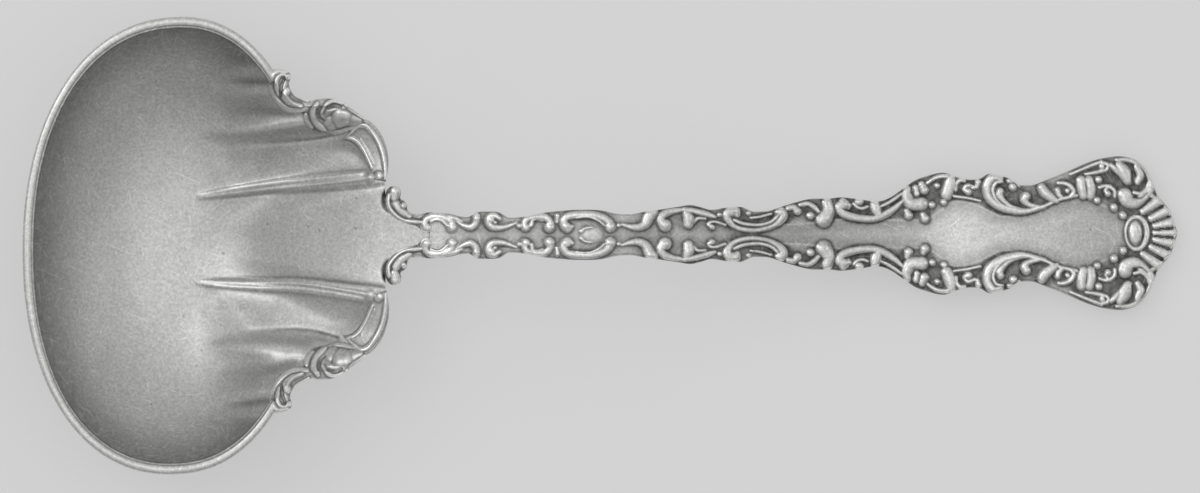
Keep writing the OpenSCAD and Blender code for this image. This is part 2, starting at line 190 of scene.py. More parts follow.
def inner_z(r, angle, onset=4.0):
    """Height of the inside of the sheet at a plan radius. The wall starts softly over the onset."""
    a = abs(angle)
    past_neck = ramp(a, *NECK_BLEND)
    far = mix(BOWL_BACK + TONGUE_LENGTH, wall_reach(a), past_neck)
    top = mix(TONGUE_END_Z, LIP_EDGE_Z, past_neck)
    past_flat = r - BASE_FLAT_R
    u = (past_flat + np.hypot(past_flat, onset)) / 2 * ease(r / BASE_FLAT_R) / (far - BASE_FLAT_R)
    back = mix(back_wall(u), u**SHOULDER_POWER, ramp(a, *SHOULDER_BLEND))
    return SHEET + (top - SHEET) * mix(back, u**SIDE_POWER, ramp(a, *SIDE_BLEND))


def outer_z(r, angle):
    rise = inner_z(r + SLOPE_STEP, angle, 0) - inner_z(r - SLOPE_STEP, angle, 0)
    slope = rise / (2 * SLOPE_STEP)
    z = np.maximum(0, inner_z(r, angle, 0) - SHEET * np.sqrt(1 + slope**2))
    return np.where(r <= BASE_FLAT_R, 0, z)


def polar(x, y):
    return np.hypot(x, y), np.degrees(np.arctan2(y, x))


def sheet_z(x, y):
    """Height of the inside of the sheet at a place of the bowl, level past its edge."""
    r, angle = polar(x, y)
    return inner_z(np.minimum(r, edge_radius(angle)), angle)


def drift(x):
    return BOWL_DRIFT * (x - BOWL_BACK)


def leaned(points):
    """The bowl and its mounts drift to one side as they leave the neck."""
    out = np.array(points, float)
    out[..., 1] += drift(out[..., 0])
    return out


# Relief: strokes of changing width, drawn into a height map on the photograph's grid

# Height of a stroke over its half width, the half width past which it flattens, and the power of its section
STROKE_RISE, STROKE_FLAT, STROKE_POWER = 0.75, 14, 0.85
RAISED_FULLNESS, THINNEST, WORN_POWER = 1.3, 0.4, 1.5
# Softening of each relief, in cells of its map
HANDLE_SOFTNESS, NECK_SOFTNESS, BOWL_SOFTNESS, BACK_SOFTNESS, MOUNT_SOFTNESS = 0.6, 1.5, 1.6, 6, 1.4


class Relief:
    """Height in millimetres over a patch of the photograph, in pixels along and from the axis."""

    def __init__(self, left, right, low, high, cell=0.5):
        self.left, self.low, self.cell = left, low, cell
        self.x = np.arange(left, right, cell)
        self.y = np.arange(low, high, cell)
        self.height = np.zeros((len(self.y), len(self.x)))

    def stroke(self, points, fullness):
        """Window of the map and the rounded section of one stroke there. Height follows width."""
        path = through(points)
        path[:, 2] = np.maximum(THINNEST, path[:, 2] * fullness)
        reach = path[:, 2].max()
        i0, i1 = np.searchsorted(self.x, [path[:, 0].min() - reach, path[:, 0].max() + reach])
        j0, j1 = np.searchsorted(self.y, [path[:, 1].min() - reach, path[:, 1].max() + reach])
        gx, gy = np.meshgrid(self.x[i0:i1], self.y[j0:j1])
        best = np.zeros(gx.shape)
        for px, py, w in path:
            q = ((gx - px) ** 2 + (gy - py) ** 2) / (w * w)
            height = STROKE_RISE * PIXEL * w / (1 + w / STROKE_FLAT)
            best = np.maximum(best, height * np.clip(1 - q, 0, 1) ** STROKE_POWER)
        return (slice(j0, j1), slice(i0, i1)), best

    def raise_(self, strokes):
        for gain, points in strokes:
            window, shape = self.stroke(points, RAISED_FULLNESS)
            self.height[window] = np.maximum(self.height[window], shape * gain)

    def cut(self, strokes):
        for gain, points in strokes:
            window, shape = self.stroke(points, 1)
            self.height[window] -= shape * gain

    def swell(self, strokes):
        """Soft ridges and hollows, from points with a half width in pixels and a height in millimetres."""
        gx, gy = np.meshgrid(self.x, self.y)
        for gain, points in strokes:
            best = np.zeros(gx.shape)
            for px, py, w, height in through(points):
                q = ((gx - px) ** 2 + (gy - py) ** 2) / (w * w)
                best = np.maximum(best, height * np.exp(-2 * q))
            self.height += gain * best

    def soften(self, cells):
        self.height = blurred(self.height, cells)

    def proud(self, pixels):
        """How far each place stands above the mean around it, in millimetres."""
        return self.height - blurred(self.height, pixels / self.cell)

    def hollows(self, pixels, depth):
        """Share of full patina."""
        return np.clip(-self.proud(pixels) / depth, 0, 1)

    def crests(self, pixels, rise):
        """Share of full rubbing."""
        return np.clip(self.proud(pixels) / rise, 0, 1) ** WORN_POWER

    def at(self, values, x, y):
        """Values of a map of this patch at places given in pixels, by linear blending."""
        fx = np.clip((np.asarray(x) - self.left) / self.cell, 0, len(self.x) - 1.001)
        fy = np.clip((np.asarray(y) - self.low) / self.cell, 0, len(self.y) - 1.001)
        i, j = fx.astype(int), fy.astype(int)
        u, v = fx - i, fy - j
        return (values[j, i] * (1 - u) * (1 - v) + values[j, i + 1] * u * (1 - v)
                + values[j + 1, i] * (1 - u) * v + values[j + 1, i + 1] * u * v)

    def z(self, x, y):
        return self.at(self.height, x, y)


def blurred(a, cells):
    """Gaussian blur with mirrored borders."""
    wide = np.block([[a, a[:, ::-1]], [a[::-1], a[::-1, ::-1]]])
    fy = np.fft.fftfreq(wide.shape[0])[:, None]
    fx = np.fft.rfftfreq(wide.shape[1])[None, :]
    kernel = np.exp(-2 * (math.pi * cells) ** 2 * (fx**2 + fy**2))
    return np.fft.irfft2(np.fft.rfft2(wide) * kernel, wide.shape)[:a.shape[0], :a.shape[1]]


def handle_strokes(strokes):
    """Strokes traced on the upper border, with rows turned into pixels from the axis."""
    return [(gain, [(x, axis_row(x) - y, w) for x, y, w in points]) for gain, points in strokes]


def bowl_strokes(strokes):
    """Strokes traced on the upper shoulder, with the bowl's drift taken out."""
    def middle(x):
        return axis_row(x) - drift(BOWL_BACK + along(x)) / PIXEL

    return [(gain, [(x, middle(x) - y, *size) for x, y, *size in points]) for gain, points in strokes]


# Meshes

def grid_faces(rows, columns):
    """Quads of a tube of rows, each a closed ring of columns."""
    a = (np.arange(rows - 1)[:, None] * columns + np.arange(columns)[None, :])
    b = (np.arange(rows - 1)[:, None] * columns + (np.arange(columns)[None, :] + 1) % columns)
    return np.stack([a, b, b + columns, a + columns], axis=-1).reshape(-1, 4).tolist()


def fans(hub, ring):
    return [[hub, ring[k], ring[(k + 1) % len(ring)]] for k in range(len(ring))]


def skin(rings, dark, close=None):
    """Closed mesh through rings and the patina and painted light they carry. The last ring takes the faces in
    close, or a hub.
    """
    rings = np.asarray(rings, float)
    rows, columns = rings.shape[:2]
    first, last = list(range(columns))[::-1], list(range((rows - 1) * columns, rows * columns))
    faces = grid_faces(rows, columns) + fans(rows * columns, first)
    hubs, shades = [rings[0].mean(0)], [dark[0].mean()]
    if close:
        faces += [[last[k] for k in face] for face in close]
    else:
        faces += fans(rows * columns + 1, last)
        hubs.append(rings[-1].mean(0))
        shades.append(dark[-1].mean())
    points = np.vstack([rings.reshape(-1, 3), hubs])
    return (points, [f[::-1] for f in faces]), np.concatenate([dark.ravel(), shades])


def joined(meshes):
    """One list of points and faces from several."""
    points, faces, start = [], [], 0
    for p, f in meshes:
        points.append(p)
        faces += [[i + start for i in face] for face in f]
        start += len(p)
    return np.vstack(points), faces


def mirrored(mesh):
    points, faces = mesh
    return points * np.array([1, -1, 1]), [f[::-1] for f in faces]


def strip(outer, inner, rows, columns):
    """Grid between two outlines, in pixels, with each row run from the outer to the inner one."""
    u = np.linspace(0, 1, columns)[None, :, None]
    a, b = evenly(outer, rows)[:, None, :], evenly(inner, rows)[:, None, :]
    return a + (b - a) * u


def plaque(top, base, dark):
    """Rings between a grid of top points and the same grid at the heights in base, and their patina."""
    under = top[:, ::-1].copy()
    under[..., 2] = base[:, ::-1]
    return np.concatenate([top, under], axis=1), np.concatenate([dark, dark * 0], axis=1)


def rounded_ends(rows, steps):
    """Share of full height along a strip, round at its two ends."""
    k = np.minimum(np.arange(rows), np.arange(rows)[::-1])
    return quarter_round(k / steps)


def placed(name, data):
    obj = bpy.data.objects.new(name, data)
    bpy.context.scene.collection.objects.link(obj)
    return obj


def piece(name, mesh, tarnish_and_painted_light, material):
    """Object of one piece, in metres, that rides on the body and stands for the solid of that name."""
    points, faces = mesh
    data = bpy.data.meshes.new(name)
    data.from_pydata((points / 1000).tolist(), [], faces)
    # the attribute carries patina and wear, and the painted shade and painted light of the bowl, handle and
    # lip wire
    data.attributes.new("tarnish_and_painted_light", "FLOAT", "POINT").data.foreach_set("value", tarnish_and_painted_light.astype(np.float32))
    data.polygons.foreach_set("use_smooth", [True] * len(data.polygons))
    data.materials.append(material)
    data.update()
    obj = placed(name + "_dressed", data)
    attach(obj, "root")
    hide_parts(name)


# Ornament of the handle's upper border: (gain, [(column, row, half width), ...]) in pixels

BORDER = [
    # first arch
    (1, [(426.5, 228, 4.4), (425, 223.5, 3.6), (428.5, 218.5, 3.2), (437, 216.8, 3.4), (446, 218.6, 3.4),
        (451.5, 222.5, 3.4), (452, 227.8, 4.4)]),
    (2.4, [(431, 222, 1.2), (436, 219.8, 1.4), (442, 220.8, 1.4), (448, 226, 1.2)]),
    (1, [(449, 217.5, 2.4), (456, 218.8, 2), (462, 221.5, 1.4)]),
    # hooks that face each other
    (1.1, [(456, 220.5, 1.2), (463, 225.3, 2.2), (470.5, 227.4, 3), (475, 224.4, 3.3), (476.6, 219.5, 3.5),
        (476.8, 216.4, 3.2)]),
    (1.1, [(499.5, 218.6, 2), (495, 216, 2.8), (489.8, 217.6, 3.4), (489, 223, 3.6), (493.5, 227.4, 3.2),
        (503, 227.6, 2.4), (511, 225.3, 1.7), (516.5, 223, 1)]),
    # second arch
    (1, [(525.5, 227.6, 3.8), (525.2, 222.5, 3.2), (529.5, 218, 3.2), (538, 216.8, 3.4), (546, 218, 3.4),
        (550, 222.5, 3.6), (549.5, 227.6, 4.6)]),
    (1.4, [(531.5, 225.5, 2), (533, 220.5, 1.8), (537, 219.5, 1.4), (543, 221, 1.2)]),
    (1.3, [(557.5, 216, 2.2), (557.2, 222, 1.8)]),
    # third arch
    (1, [(571.5, 226.8, 2.2), (567.5, 229, 3.6), (564.5, 225.5, 4), (564.5, 220.5, 4), (569, 216.5, 3.6),
        (580, 215, 3.4), (592, 215.2, 3.4), (602, 217.8, 3.6), (608.5, 222, 3.8), (610.5, 227.2, 4.6)]),
    (2.4, [(577, 218.2, 1.2), (584, 217, 1.4), (592, 217.8, 1.4), (600, 221.8, 1.5), (604.5, 225.8, 1.2)]),
    (0.18, [(588, 234.6, 6), (596, 234.6, 6)]),
    (1.3, [(581.5, 231.6, 1.6), (585, 228.6, 1.2), (592, 227.4, 1)]),
    # waved scroll and hook with a leaf
    (1, [(622, 224.6, 1.2), (631, 227, 2.4), (639, 227.4, 3.4), (645.4, 224, 4), (648.6, 218.4, 4.8),
        (651.6, 213, 5.4)]),
    (1, [(665, 225.6, 5.2), (661, 220, 4), (664, 214.8, 3.6), (672, 211.6, 2.6), (684, 209.8, 1.8)]),
    (1.1, [(686, 213, 3), (688.6, 218, 4.8), (688.2, 224, 4)]),
    (1.3, [(684, 209.8, 2), (694, 211.4, 2.6), (706, 214.4, 2.6), (714.5, 217, 1.6)]),
    (1.3, [(693.5, 223, 1.2), (697.5, 218.6, 1.6), (705, 218.6, 1.4)]),
    (1.7, [(711.8, 227.2, 2.4), (708.4, 224.6, 1.4), (711.5, 222, 1.4), (717.5, 222.4, 1.4),
        (725, 225, 1.2)]),
    # long open scroll
    (1.1, [(736.5, 214.6, 3), (735.5, 211.4, 3.8), (731, 211.4, 4.4), (727.6, 215, 4.2), (728.4, 220, 3.4),
        (734, 226, 2.4), (744, 229.4, 2.3), (756, 230.2, 2.3), (768, 228, 2.4), (777, 223.6, 2.8),
        (782.6, 217.5, 3.8), (782.5, 212.6, 3.8), (778, 212, 2.6)]),
    (1.5, [(734, 220, 1.6), (740, 222.8, 1.8), (748, 224.6, 1.8), (760, 225, 1.8), (771, 222, 1.8),
        (777.4, 216.4, 1.6)]),
    (2, [(751, 218, 1), (760, 217, 1.2), (771, 214, 1)]),
    (1.2, [(788, 208.5, 2.4), (794, 207.8, 2.6), (797.5, 211.4, 3.2)]),
    (1.3, [(800.5, 205, 1.8), (808, 204, 2), (814.5, 207.4, 2.2), (818.5, 211.5, 2)]),
    (0.95, [(827.4, 203, 4.4), (829, 211, 5.6), (824, 220, 6.6)]),
    # great scroll with a wrapped leaf
    (1.1, [(845, 204.5, 4.2), (839.5, 207, 4.2), (842.5, 212.5, 4), (851, 216.4, 3.6), (863, 218.6, 3.4),
        (874, 218.6, 3.4), (885, 214.8, 3.4), (894.5, 208.8, 2.8), (903, 201.5, 1.8)]),
    (1.6, [(854, 203.6, 1.2), (857.5, 207, 1.6), (863, 208.4, 1.6), (868, 206.6, 1.2)]),
    (1.3, [(849.5, 205.5, 2.2), (848.5, 209, 1.4)]),
    (1.1, [(875, 202, 3.4), (876.6, 209, 4.6), (879, 215, 3.8)]),
    (1.6, [(880, 207, 1.4), (888, 203.5, 1.6), (896, 198.5, 1.6), (903, 193.5, 1.4)]),
    # broad leaf with beads
    (1, [(908, 189.6, 3.4), (907.4, 197, 4.6), (912, 203.6, 5.6), (922, 204, 6)]),
    (1.6, [(910.6, 194, 1.6), (914.6, 200, 1.8), (922, 201.6, 1.8)]),
    (1.3, [(916.4, 187.6, 2.6), (917.6, 194, 2.8)]),
    (1.2, [(922.6, 184.6, 3), (925, 190, 4)]),
    (1.2, [(907.6, 210.8, 2.4), (909.4, 215.4, 3.6)]),
    (1.2, [(924, 214.8, 2.6), (925.8, 218.8, 3.8)]),
    (1.6, [(928.5, 183, 1.4), (934, 179, 1.8), (940.5, 176.6, 2), (948, 176.2, 2.2)]),
    (1, [(952, 178.5, 4), (951, 185, 5.6), (947.6, 194.5, 5)]),
    (1.6, [(956.5, 190, 1.6), (957.5, 184, 1.8), (961, 180.2, 2), (965, 180.5, 1.6)]),
    (1.5, [(969.4, 191.8, 3.2), (965, 189.5, 1.6), (968.5, 185.6, 1.8), (975.5, 187.6, 1.6)]),
    (2, [(955, 196.2, 1.2), (968.4, 198, 1.2), (981, 200.8, 1)]),
    (1.2, [(979, 182, 2.6), (978, 187, 1.8)]),
    # scroll that carries the leaf band
    (1, [(1001, 178, 3), (994, 177.5, 4.2), (988.4, 186, 4.6), (990.4, 197, 4.6), (999.5, 205.4, 4.2),
        (1012, 210, 3.6), (1026, 211.2, 3), (1046, 206.4, 2)]),
    (2.4, [(1003, 181.5, 1.4), (997, 183, 1.6), (994, 190, 1.7), (997, 199, 1.7), (1006, 206.5, 1.5),
        (1020, 210, 1.3)]),
    (1.4, [(1001, 191.5, 3.6), (1000.5, 195.5, 3.8), (1004.5, 201, 2.8), (1012, 206.3, 2),
        (1024, 209.4, 1.3)]),
    (1.3, [(1027, 196.5, 4), (1025.4, 200.4, 3.6), (1031, 205, 2.6), (1042, 207, 1.5)]),
    (1.4, [(1010, 181, 2), (1016, 181.2, 1.8), (1020, 185, 1.4)]),
    (1.1, [(1043, 188, 4), (1046, 192.5, 4.6), (1053, 198, 4), (1058, 201, 2.4)]),
    (1.4, [(1058.5, 190, 2.6), (1060, 194.5, 2.5), (1064, 198, 1.7)]),
    (1.5, [(1060, 183, 1.4), (1066, 183.4, 1.8), (1072, 186.4, 2.2), (1075, 192, 2.2), (1072, 196.5, 1.8)]),
    (1.5, [(1024, 211.4, 1.4), (1044, 206.6, 1.6), (1060, 199.8, 1.6), (1078, 195.4, 1.6)]),
    (0.95, [(1083, 181, 4.6), (1083.6, 188, 5), (1085, 194.6, 4.2)]),
    (0.95, [(1090.5, 180.5, 4.4), (1092, 188, 4.8), (1092, 195, 4.2)]),
    (1.6, [(1109.5, 193.6, 2.8), (1107, 190.4, 1.4), (1111, 187, 1.6), (1116, 190.5, 1.8),
        (1116.5, 196.5, 1.5)]),
    (1.6, [(1101, 187.4, 1.2), (1107, 185.8, 1.4), (1112, 186.5, 1.6)]),
    (1.5, [(1104, 162.6, 1.6), (1109.4, 164.6, 1.8), (1108, 169.4, 1.6), (1097, 172.4, 1.4),
        (1087, 174, 1)]),
    (1.5, [(1072, 174, 1), (1090, 166.5, 1.4), (1103, 161.6, 1.4)]),
    # leaf and volute beside the shell
    (1.3, [(1112.5, 165, 2), (1116.5, 168.4, 2.8), (1120, 173, 2)]),
    (0.95, [(1121.5, 165.5, 4), (1126, 172, 5.8), (1129.6, 179.6, 4.6)]),
    (1.1, [(1139, 167.5, 3.2), (1142.5, 175, 3.8), (1139.5, 182, 2.6)]),
    (0.9, [(1118, 159.6, 1.4), (1130, 159.6, 1.8), (1141, 164.5, 2.2), (1149, 172, 2.6), (1153.3, 181, 3.2),
        (1152.3, 189.5, 3.8), (1146, 197, 4.6), (1137.5, 202.3, 5.4), (1129.5, 200, 6.4),
        (1127, 195.4, 6.4)]),
    (1.4, [(1136, 192.6, 1.8), (1143, 193.4, 2), (1149, 188.4, 1.8), (1151, 182, 1.4)]),
    (0.9, [(1151.5, 194.6, 3), (1157, 198, 2.6)]),
]
# Beads, and the rounded ends of scrolls: (column, row, half width, gain)
BEADS = [(426.5, 227.6, 4.2, 1.2), (452.2, 227.4, 4.2, 1.2), (476.6, 218.6, 3.6, 1.3),
    (491, 219.6, 3.8, 1.2), (495.5, 222.6, 1.8, 1.4), (519.5, 226, 2.2, 1.2), (526, 227.4, 3.8, 1.2),
    (549.8, 227.4, 4.2, 1.2), (566.4, 226.6, 4.4, 1.2), (610.6, 226.8, 4.4, 1.2), (619, 225.6, 1.8, 1.2),
    (650.6, 215, 5.2, 1.1), (665, 225, 5, 1.2), (688.6, 219.6, 4.8, 1.1), (719.5, 215, 2, 1.2),
    (732, 211.8, 4.8, 1.1), (748.5, 213.5, 1.8, 1.2), (781.5, 212.5, 4.4, 1.1), (810.7, 215.7, 3.2, 1.1),
    (825.4, 218.4, 6, 1.1), (843, 202, 3.4, 1.1), (843.5, 205, 5, 1.1), (859.5, 201.6, 3.6, 1.2),
    (877, 209.6, 4.6, 1.1), (932.8, 204.8, 2.8, 1.2), (938, 185.6, 2.4, 1.3), (944.7, 202.3, 2.8, 1.2),
    (1014, 187, 3.4, 1.2), (1069, 190.8, 2.2, 1.2), (1098.6, 200.4, 3, 1.3), (1100, 179.6, 3.2, 1.3),
    (1103.6, 166.6, 2.6, 1.3), (1115.6, 207.4, 3.4, 1.3), (1124.8, 215.6, 3.2, 1.3)]
BORDER_CUTS = [
    (1.2, [(1135, 197.4, 1.2), (1143, 198, 1.4), (1149.6, 193, 1.1)]),
    (1.6, [(1135, 166, 1.2), (1134.8, 174, 1.5), (1133.6, 181, 1.2)]),
    (0.8, [(569.5, 221.5, 1.6)]),
]
# Shell of seven lobes: inner and outer end of each upper lobe, from the axis outwards
SHELL = [((1157.5, 233.2), (1176, 233.2)), ((1157.5, 226), (1172.5, 223)), ((1153.5, 218.5), (1168.5, 211)),
    ((1145, 211.5), (1160, 201.5))]
SHELL_WIDTHS = (3.0, 5.3)
SLIT_WIDTHS = (1.3, 1.9)
SLIT_GAIN = 2.6
# Boss: half lengths and heights of the dome, of the disc under it and of the groove between them
BOSS_COLUMN, BOSS_HALF, BOSS_RISE, BOSS_POWER = 1137.2, (7.8, 13.0), 0.3, 0.6
DISC_SHIFT, DISC_HALF, DISC_RISE, DISC_EDGE = 1.8, (13.8, 19.2), 0.32, 2.2
GROOVE_WIDTH, GROOVE_DEPTH = 1.1, 0.24

# Half width of the handle in pixels, and its scalloped end: the sides, and tips at shares of the half width
HALF_WIDTHS = [(428, 23), (440, 22.4), (450, 21.5), (460, 19), (468, 18.3), (478, 23), (490, 23.6),
    (500, 22.6), (510, 17.4), (525, 18.4), (540, 21.5), (555, 23.5), (580, 25), (600, 24.5), (615, 21.4),
    (630, 20.5), (645, 23), (660, 25), (680, 28), (690, 29.5), (700, 27.5), (711, 24.6), (725, 26.5),
    (740, 27.5), (752, 23), (764, 22.8), (785, 28.6), (800, 33), (815, 35.6), (828, 35.4), (840, 36.7),
    (860, 34.8), (877, 32.4), (890, 36), (905, 46), (915, 53), (925, 57), (944, 61.2), (960, 56), (972, 54),
    (981, 55), (991, 60), (1001, 58), (1010, 55.4), (1022, 48.6), (1031, 48.2), (1050, 54.5), (1070, 62.5),
    (1090, 71), (1105, 75.2)]
END_SIDE = [(1090, 162.2), (1100, 159), (1110, 157), (1120, 156), (1130, 157), (1140, 161), (1148, 168.5),
    (1153.5, 178.5)]
END_TIPS = [(0, 1180.4, 233), (0.1, 1177.6, 228.9), (0.22, 1177.2, 222.6), (0.34, 1173.8, 216.4),
    (0.47, 1172.8, 210.2), (0.59, 1167.2, 205.8), (0.71, 1163.8, 200.6), (0.82, 1158.5, 193),
    (0.9, 1157, 187), (1, 1153.5, 178.5)]

# Half width in pixels of the plain panel between the borders of the end
PANEL = [(746, -3), (768, 7), (800, 9), (850, 14), (900, 13), (928, 14.8), (943.6, 24), (952, 30.7),
    (961, 31.6), (976, 28.6), (990, 21.8), (1005, 16), (1026, 19.4), (1060, 28.3), (1079, 34.3), (1096, 31),
    (1110, 24), (1120, 18.5), (1128, 10)]

# Ornament of the neck scroll, between a left and a right outline
NECK_LEFT = [(391.4, 186.6), (387.8, 190), (386, 195.6), (385.8, 202), (387.2, 208.4), (392, 215),
    (399.4, 220.8), (408, 224), (415, 225.4), (420, 228.4), (423, 232), (428, 233.2), (434, 232.8)]
NECK_RIGHT = [(396.5, 186.4), (400.6, 188.8), (401.6, 193.6), (400.8, 198.4), (404.8, 201.2),
    (407.4, 205.4), (408, 210), (411.6, 213.6), (416.5, 215.6), (421, 214.6), (425, 213.2), (429.5, 212.6),
    (434, 212.8)]
NECK = [
    (1.7, [(390, 195.4, 2.2), (388.6, 201.2, 2.4), (389.8, 207.6, 2.4), (395.8, 215.2, 2.4),
        (404, 220.4, 2.2), (415.8, 222, 1.9), (423, 222.2, 1.4)]),
    (1, [(396, 192, 4.6), (394.6, 198, 3.8)]),
    (1.4, [(403.8, 206, 2.8)]),
    (0.6, [(396, 204, 4), (401, 211, 4), (409, 216.5, 3)]),
]

# Ribs and flutes pressed into the bowl's upper shoulder
RIBS = [
    (1.5, [(198, 197.6, 0.9), (222, 194.4, 1.3), (261.5, 189.8, 1.5), (313.8, 184.4, 1.6),
        (350, 180.6, 1.7), (370, 178, 2.2)]),
    (1.3, [(196, 195.2, 1.2), (225, 189.8, 2.1), (261.5, 184.4, 2.7), (304, 178.8, 2.9), (340, 175.2, 2.9),
        (362, 173.2, 2.4)]),
    (1.3, [(371.5, 177.6, 4)]),
]
RIB_CUTS = [
    (0.9, [(198, 200.8, 0.9), (230, 198, 1.3), (261.5, 194.4, 1.7), (329, 189.4, 2), (371, 186.4, 2.2),
        (384, 184.8, 1.6)]),
    (0.5, [(238, 144, 0.8), (277, 141.4, 1.3), (314, 138.6, 1.5), (338, 134.2, 1.3)]),
    (3.2, [(391.4, 187.6, 1.2), (386.4, 192.6, 2), (384.8, 199.6, 2.4), (385.6, 206.4, 1.9),
        (389, 211.6, 1.1)]),
]
# Soft folds of the wall beside the scrolls: (+1 ridge or -1 hollow, points with half width and height)
FOLDS = [
    (1, [(290, 235.5, 60, 0.6)]),
    (1, [(232, 75.5, 5, 0), (250, 75, 5.5, 0.15), (266, 74, 5.5, 0.2)]),
    (-1, [(222, 83, 3.5, 0), (244, 83.2, 4, 0.2), (268, 83.4, 4, 0.3)]),
    (1, [(210, 94, 7, 0), (234, 93, 8, 0.2), (252, 92.4, 8, 0.3), (274, 91, 7, 0.35)]),
    (-1, [(214, 116, 8, 0), (240, 114.6, 8.5, 0.22), (262, 113.6, 8.5, 0.34), (282, 113.6, 8, 0.4),
        (300, 113.6, 6, 0.4)]),
    (1, [(200, 133.6, 7, 0), (218, 132, 7.5, 0.26), (234, 130.4, 7.5, 0.48), (250, 128.6, 7.5, 0.58),
        (270, 126.4, 7.2, 0.56), (288, 124.2, 7, 0.5), (306, 121.4, 6, 0.42)]),
    (-1, [(218, 146, 4.5, 0), (244, 143, 5, 0.16), (277, 139.6, 5.5, 0.3), (314, 136, 5.5, 0.36),
        (336, 132.6, 4.5, 0.3)]),
    (1, [(190, 199, 8, 0), (215, 194, 9, 0.22), (261.5, 186.6, 9.5, 0.4), (313.8, 181, 9.5, 0.45),
        (368, 176, 8, 0.45)]),
    (-1, [(300, 148, 12, 0), (326, 148, 12, 0.1), (344, 149, 12, 0.25), (358, 156, 10, 0.4),
        (367, 167, 7, 0.3)]),
]
# Patina in grooves, painted shadow in the gap by the neck scroll, and painted shade in the hollows of the
# folds and at the end of the panel, below zero for painted highlights on the crests of the folds: (share,
# points with half width and part of it)
STAINS_AND_PAINTED_LIGHT = [
    # patina in the groove under the rib
    (0.55, [(198, 200.8, 2, 0.2), (261.5, 194.6, 2.4, 0.8), (329, 189.6, 2.8, 1), (371, 186.6, 3, 1),
        (384, 185, 2, 1)]),
    # painted shadow in the gap between the bowl and the neck scroll
    (1, [(391.4, 187.6, 2.6, 1), (386.4, 192.6, 3.6, 1), (384.8, 199.6, 4, 1), (385.6, 206.4, 3.6, 1),
        (389, 211.6, 2.2, 1)]),
    # painted shade at the end of the panel by the cove border
    (0.3, [(326, 146, 10, 0), (344, 147, 12, 0.7), (358, 155, 11, 1), (367, 167, 7, 0.8)]),
    # painted shade in the hollows of the folds
    (0.3, [(230, 138, 6, 0), (262, 136, 6, 0.6), (298, 131, 7, 1), (324, 131, 6, 1)]),
    (0.35, [(226, 106, 10, 0), (252, 109, 11, 0.6), (276, 112, 8, 1), (294, 115, 6, 1)]),
    (0.35, [(226, 82, 3, 0), (246, 82.4, 3.5, 0.7), (267, 82.8, 3.5, 1)]),
    # patina along the crease
    (0.75, [(236, 144.6, 2, 0), (277, 142, 2.8, 0.8), (314, 139, 3, 1), (338, 134.6, 2.6, 1)]),
    # painted highlights on the crests of the folds
    (-0.4, [(222, 132.4, 5, 0), (240, 130, 5.5, 0.7), (262, 127.2, 5.5, 1), (290, 123.6, 5, 1),
        (306, 121, 4, 0.6)]),
    (-0.3, [(215, 93.4, 7, 0), (240, 92.6, 7, 0.8), (268, 91.4, 6, 1)]),
    (-0.4, [(228, 74, 6, 0.3), (248, 70.6, 7, 1), (262, 69, 5, 0.8)]),
]
# Painted light that lifts the start of the panel on the right shoulder
RIGHT_PAINTED_LIGHT = [
    (-0.5, [(214, 146, 12, 0.4), (222, 160, 16, 1), (230, 176, 14, 0.9), (250, 168, 14, 0.5)]),
]
# Painted shade that dims the highlight of the key softbox on the left shoulder
LEFT_PAINTED_SHADE = [
    (0.18, [(205, 178, 14, 0.6), (206, 150, 16, 0.9), (206, 125, 14, 0.5)]),
    (0.25, [(222, 172, 11, 0.8), (250, 168, 13, 1), (285, 164, 13, 0.8), (312, 160, 10, 0.3)]),
]

# Mounts of the upper shoulder: outer and inner outline, height of the slab, and ornament
LIP_SCROLL = {
    "outer": [(287, 71.2), (281, 69.4), (275, 70.2), (270.5, 74), (268.8, 80.5), (268.8, 88), (270.6, 95.2),
        (275, 102.8), (282, 109.6), (290.6, 113.8), (298.6, 114.2), (306, 112.8), (312, 109.6)],
    "inner": [(291.4, 73.6), (292.2, 76.6), (291.6, 80), (290.7, 83), (290.5, 86), (291.5, 89.5),
        (293.6, 92.6), (296.6, 95.6), (300, 97.8), (304, 99.2), (308, 100), (311.5, 100.8), (314, 104)],
    "slab": 0.8,
    "tarnish_and_painted_light": 0.65,
    "ridges": [
        (1.2, [(287, 73.6, 2.6), (281, 72.4, 3.2), (275.6, 75, 3.4), (272.6, 81, 3.4), (272, 87, 3.2)]),
        (2.2, [(288.6, 78, 1.6), (286, 75.2, 1.8), (281, 76.6, 2), (277.8, 82, 2.2), (277.6, 88, 2.1),
            (279.6, 95, 1.5)]),
        (1.4, [(289, 77.4, 2.8)]),
        (1.5, [(271.4, 84, 2.4), (271.4, 90, 3), (273.4, 96.4, 3.2), (278, 102.6, 3.2), (284.4, 107.8, 3.2),
            (292, 110.8, 3), (300, 111.2, 2.4), (308, 109.8, 1.6)]),
        (1.3, [(288.5, 91.5, 3), (286.6, 98, 3.4), (291.5, 104, 3.2), (302, 106.8, 2.2)]),
        (1.6, [(292, 83, 1.2), (292.6, 88, 1.4), (296, 94, 1.6), (302, 98, 1.6), (309, 100.4, 1.6)]),
    ],
    "cuts": [
        (1.6, [(285.6, 80, 1.8), (283, 86, 2.2), (282.4, 92, 2), (282.6, 97, 1.4)]),
    ],
}
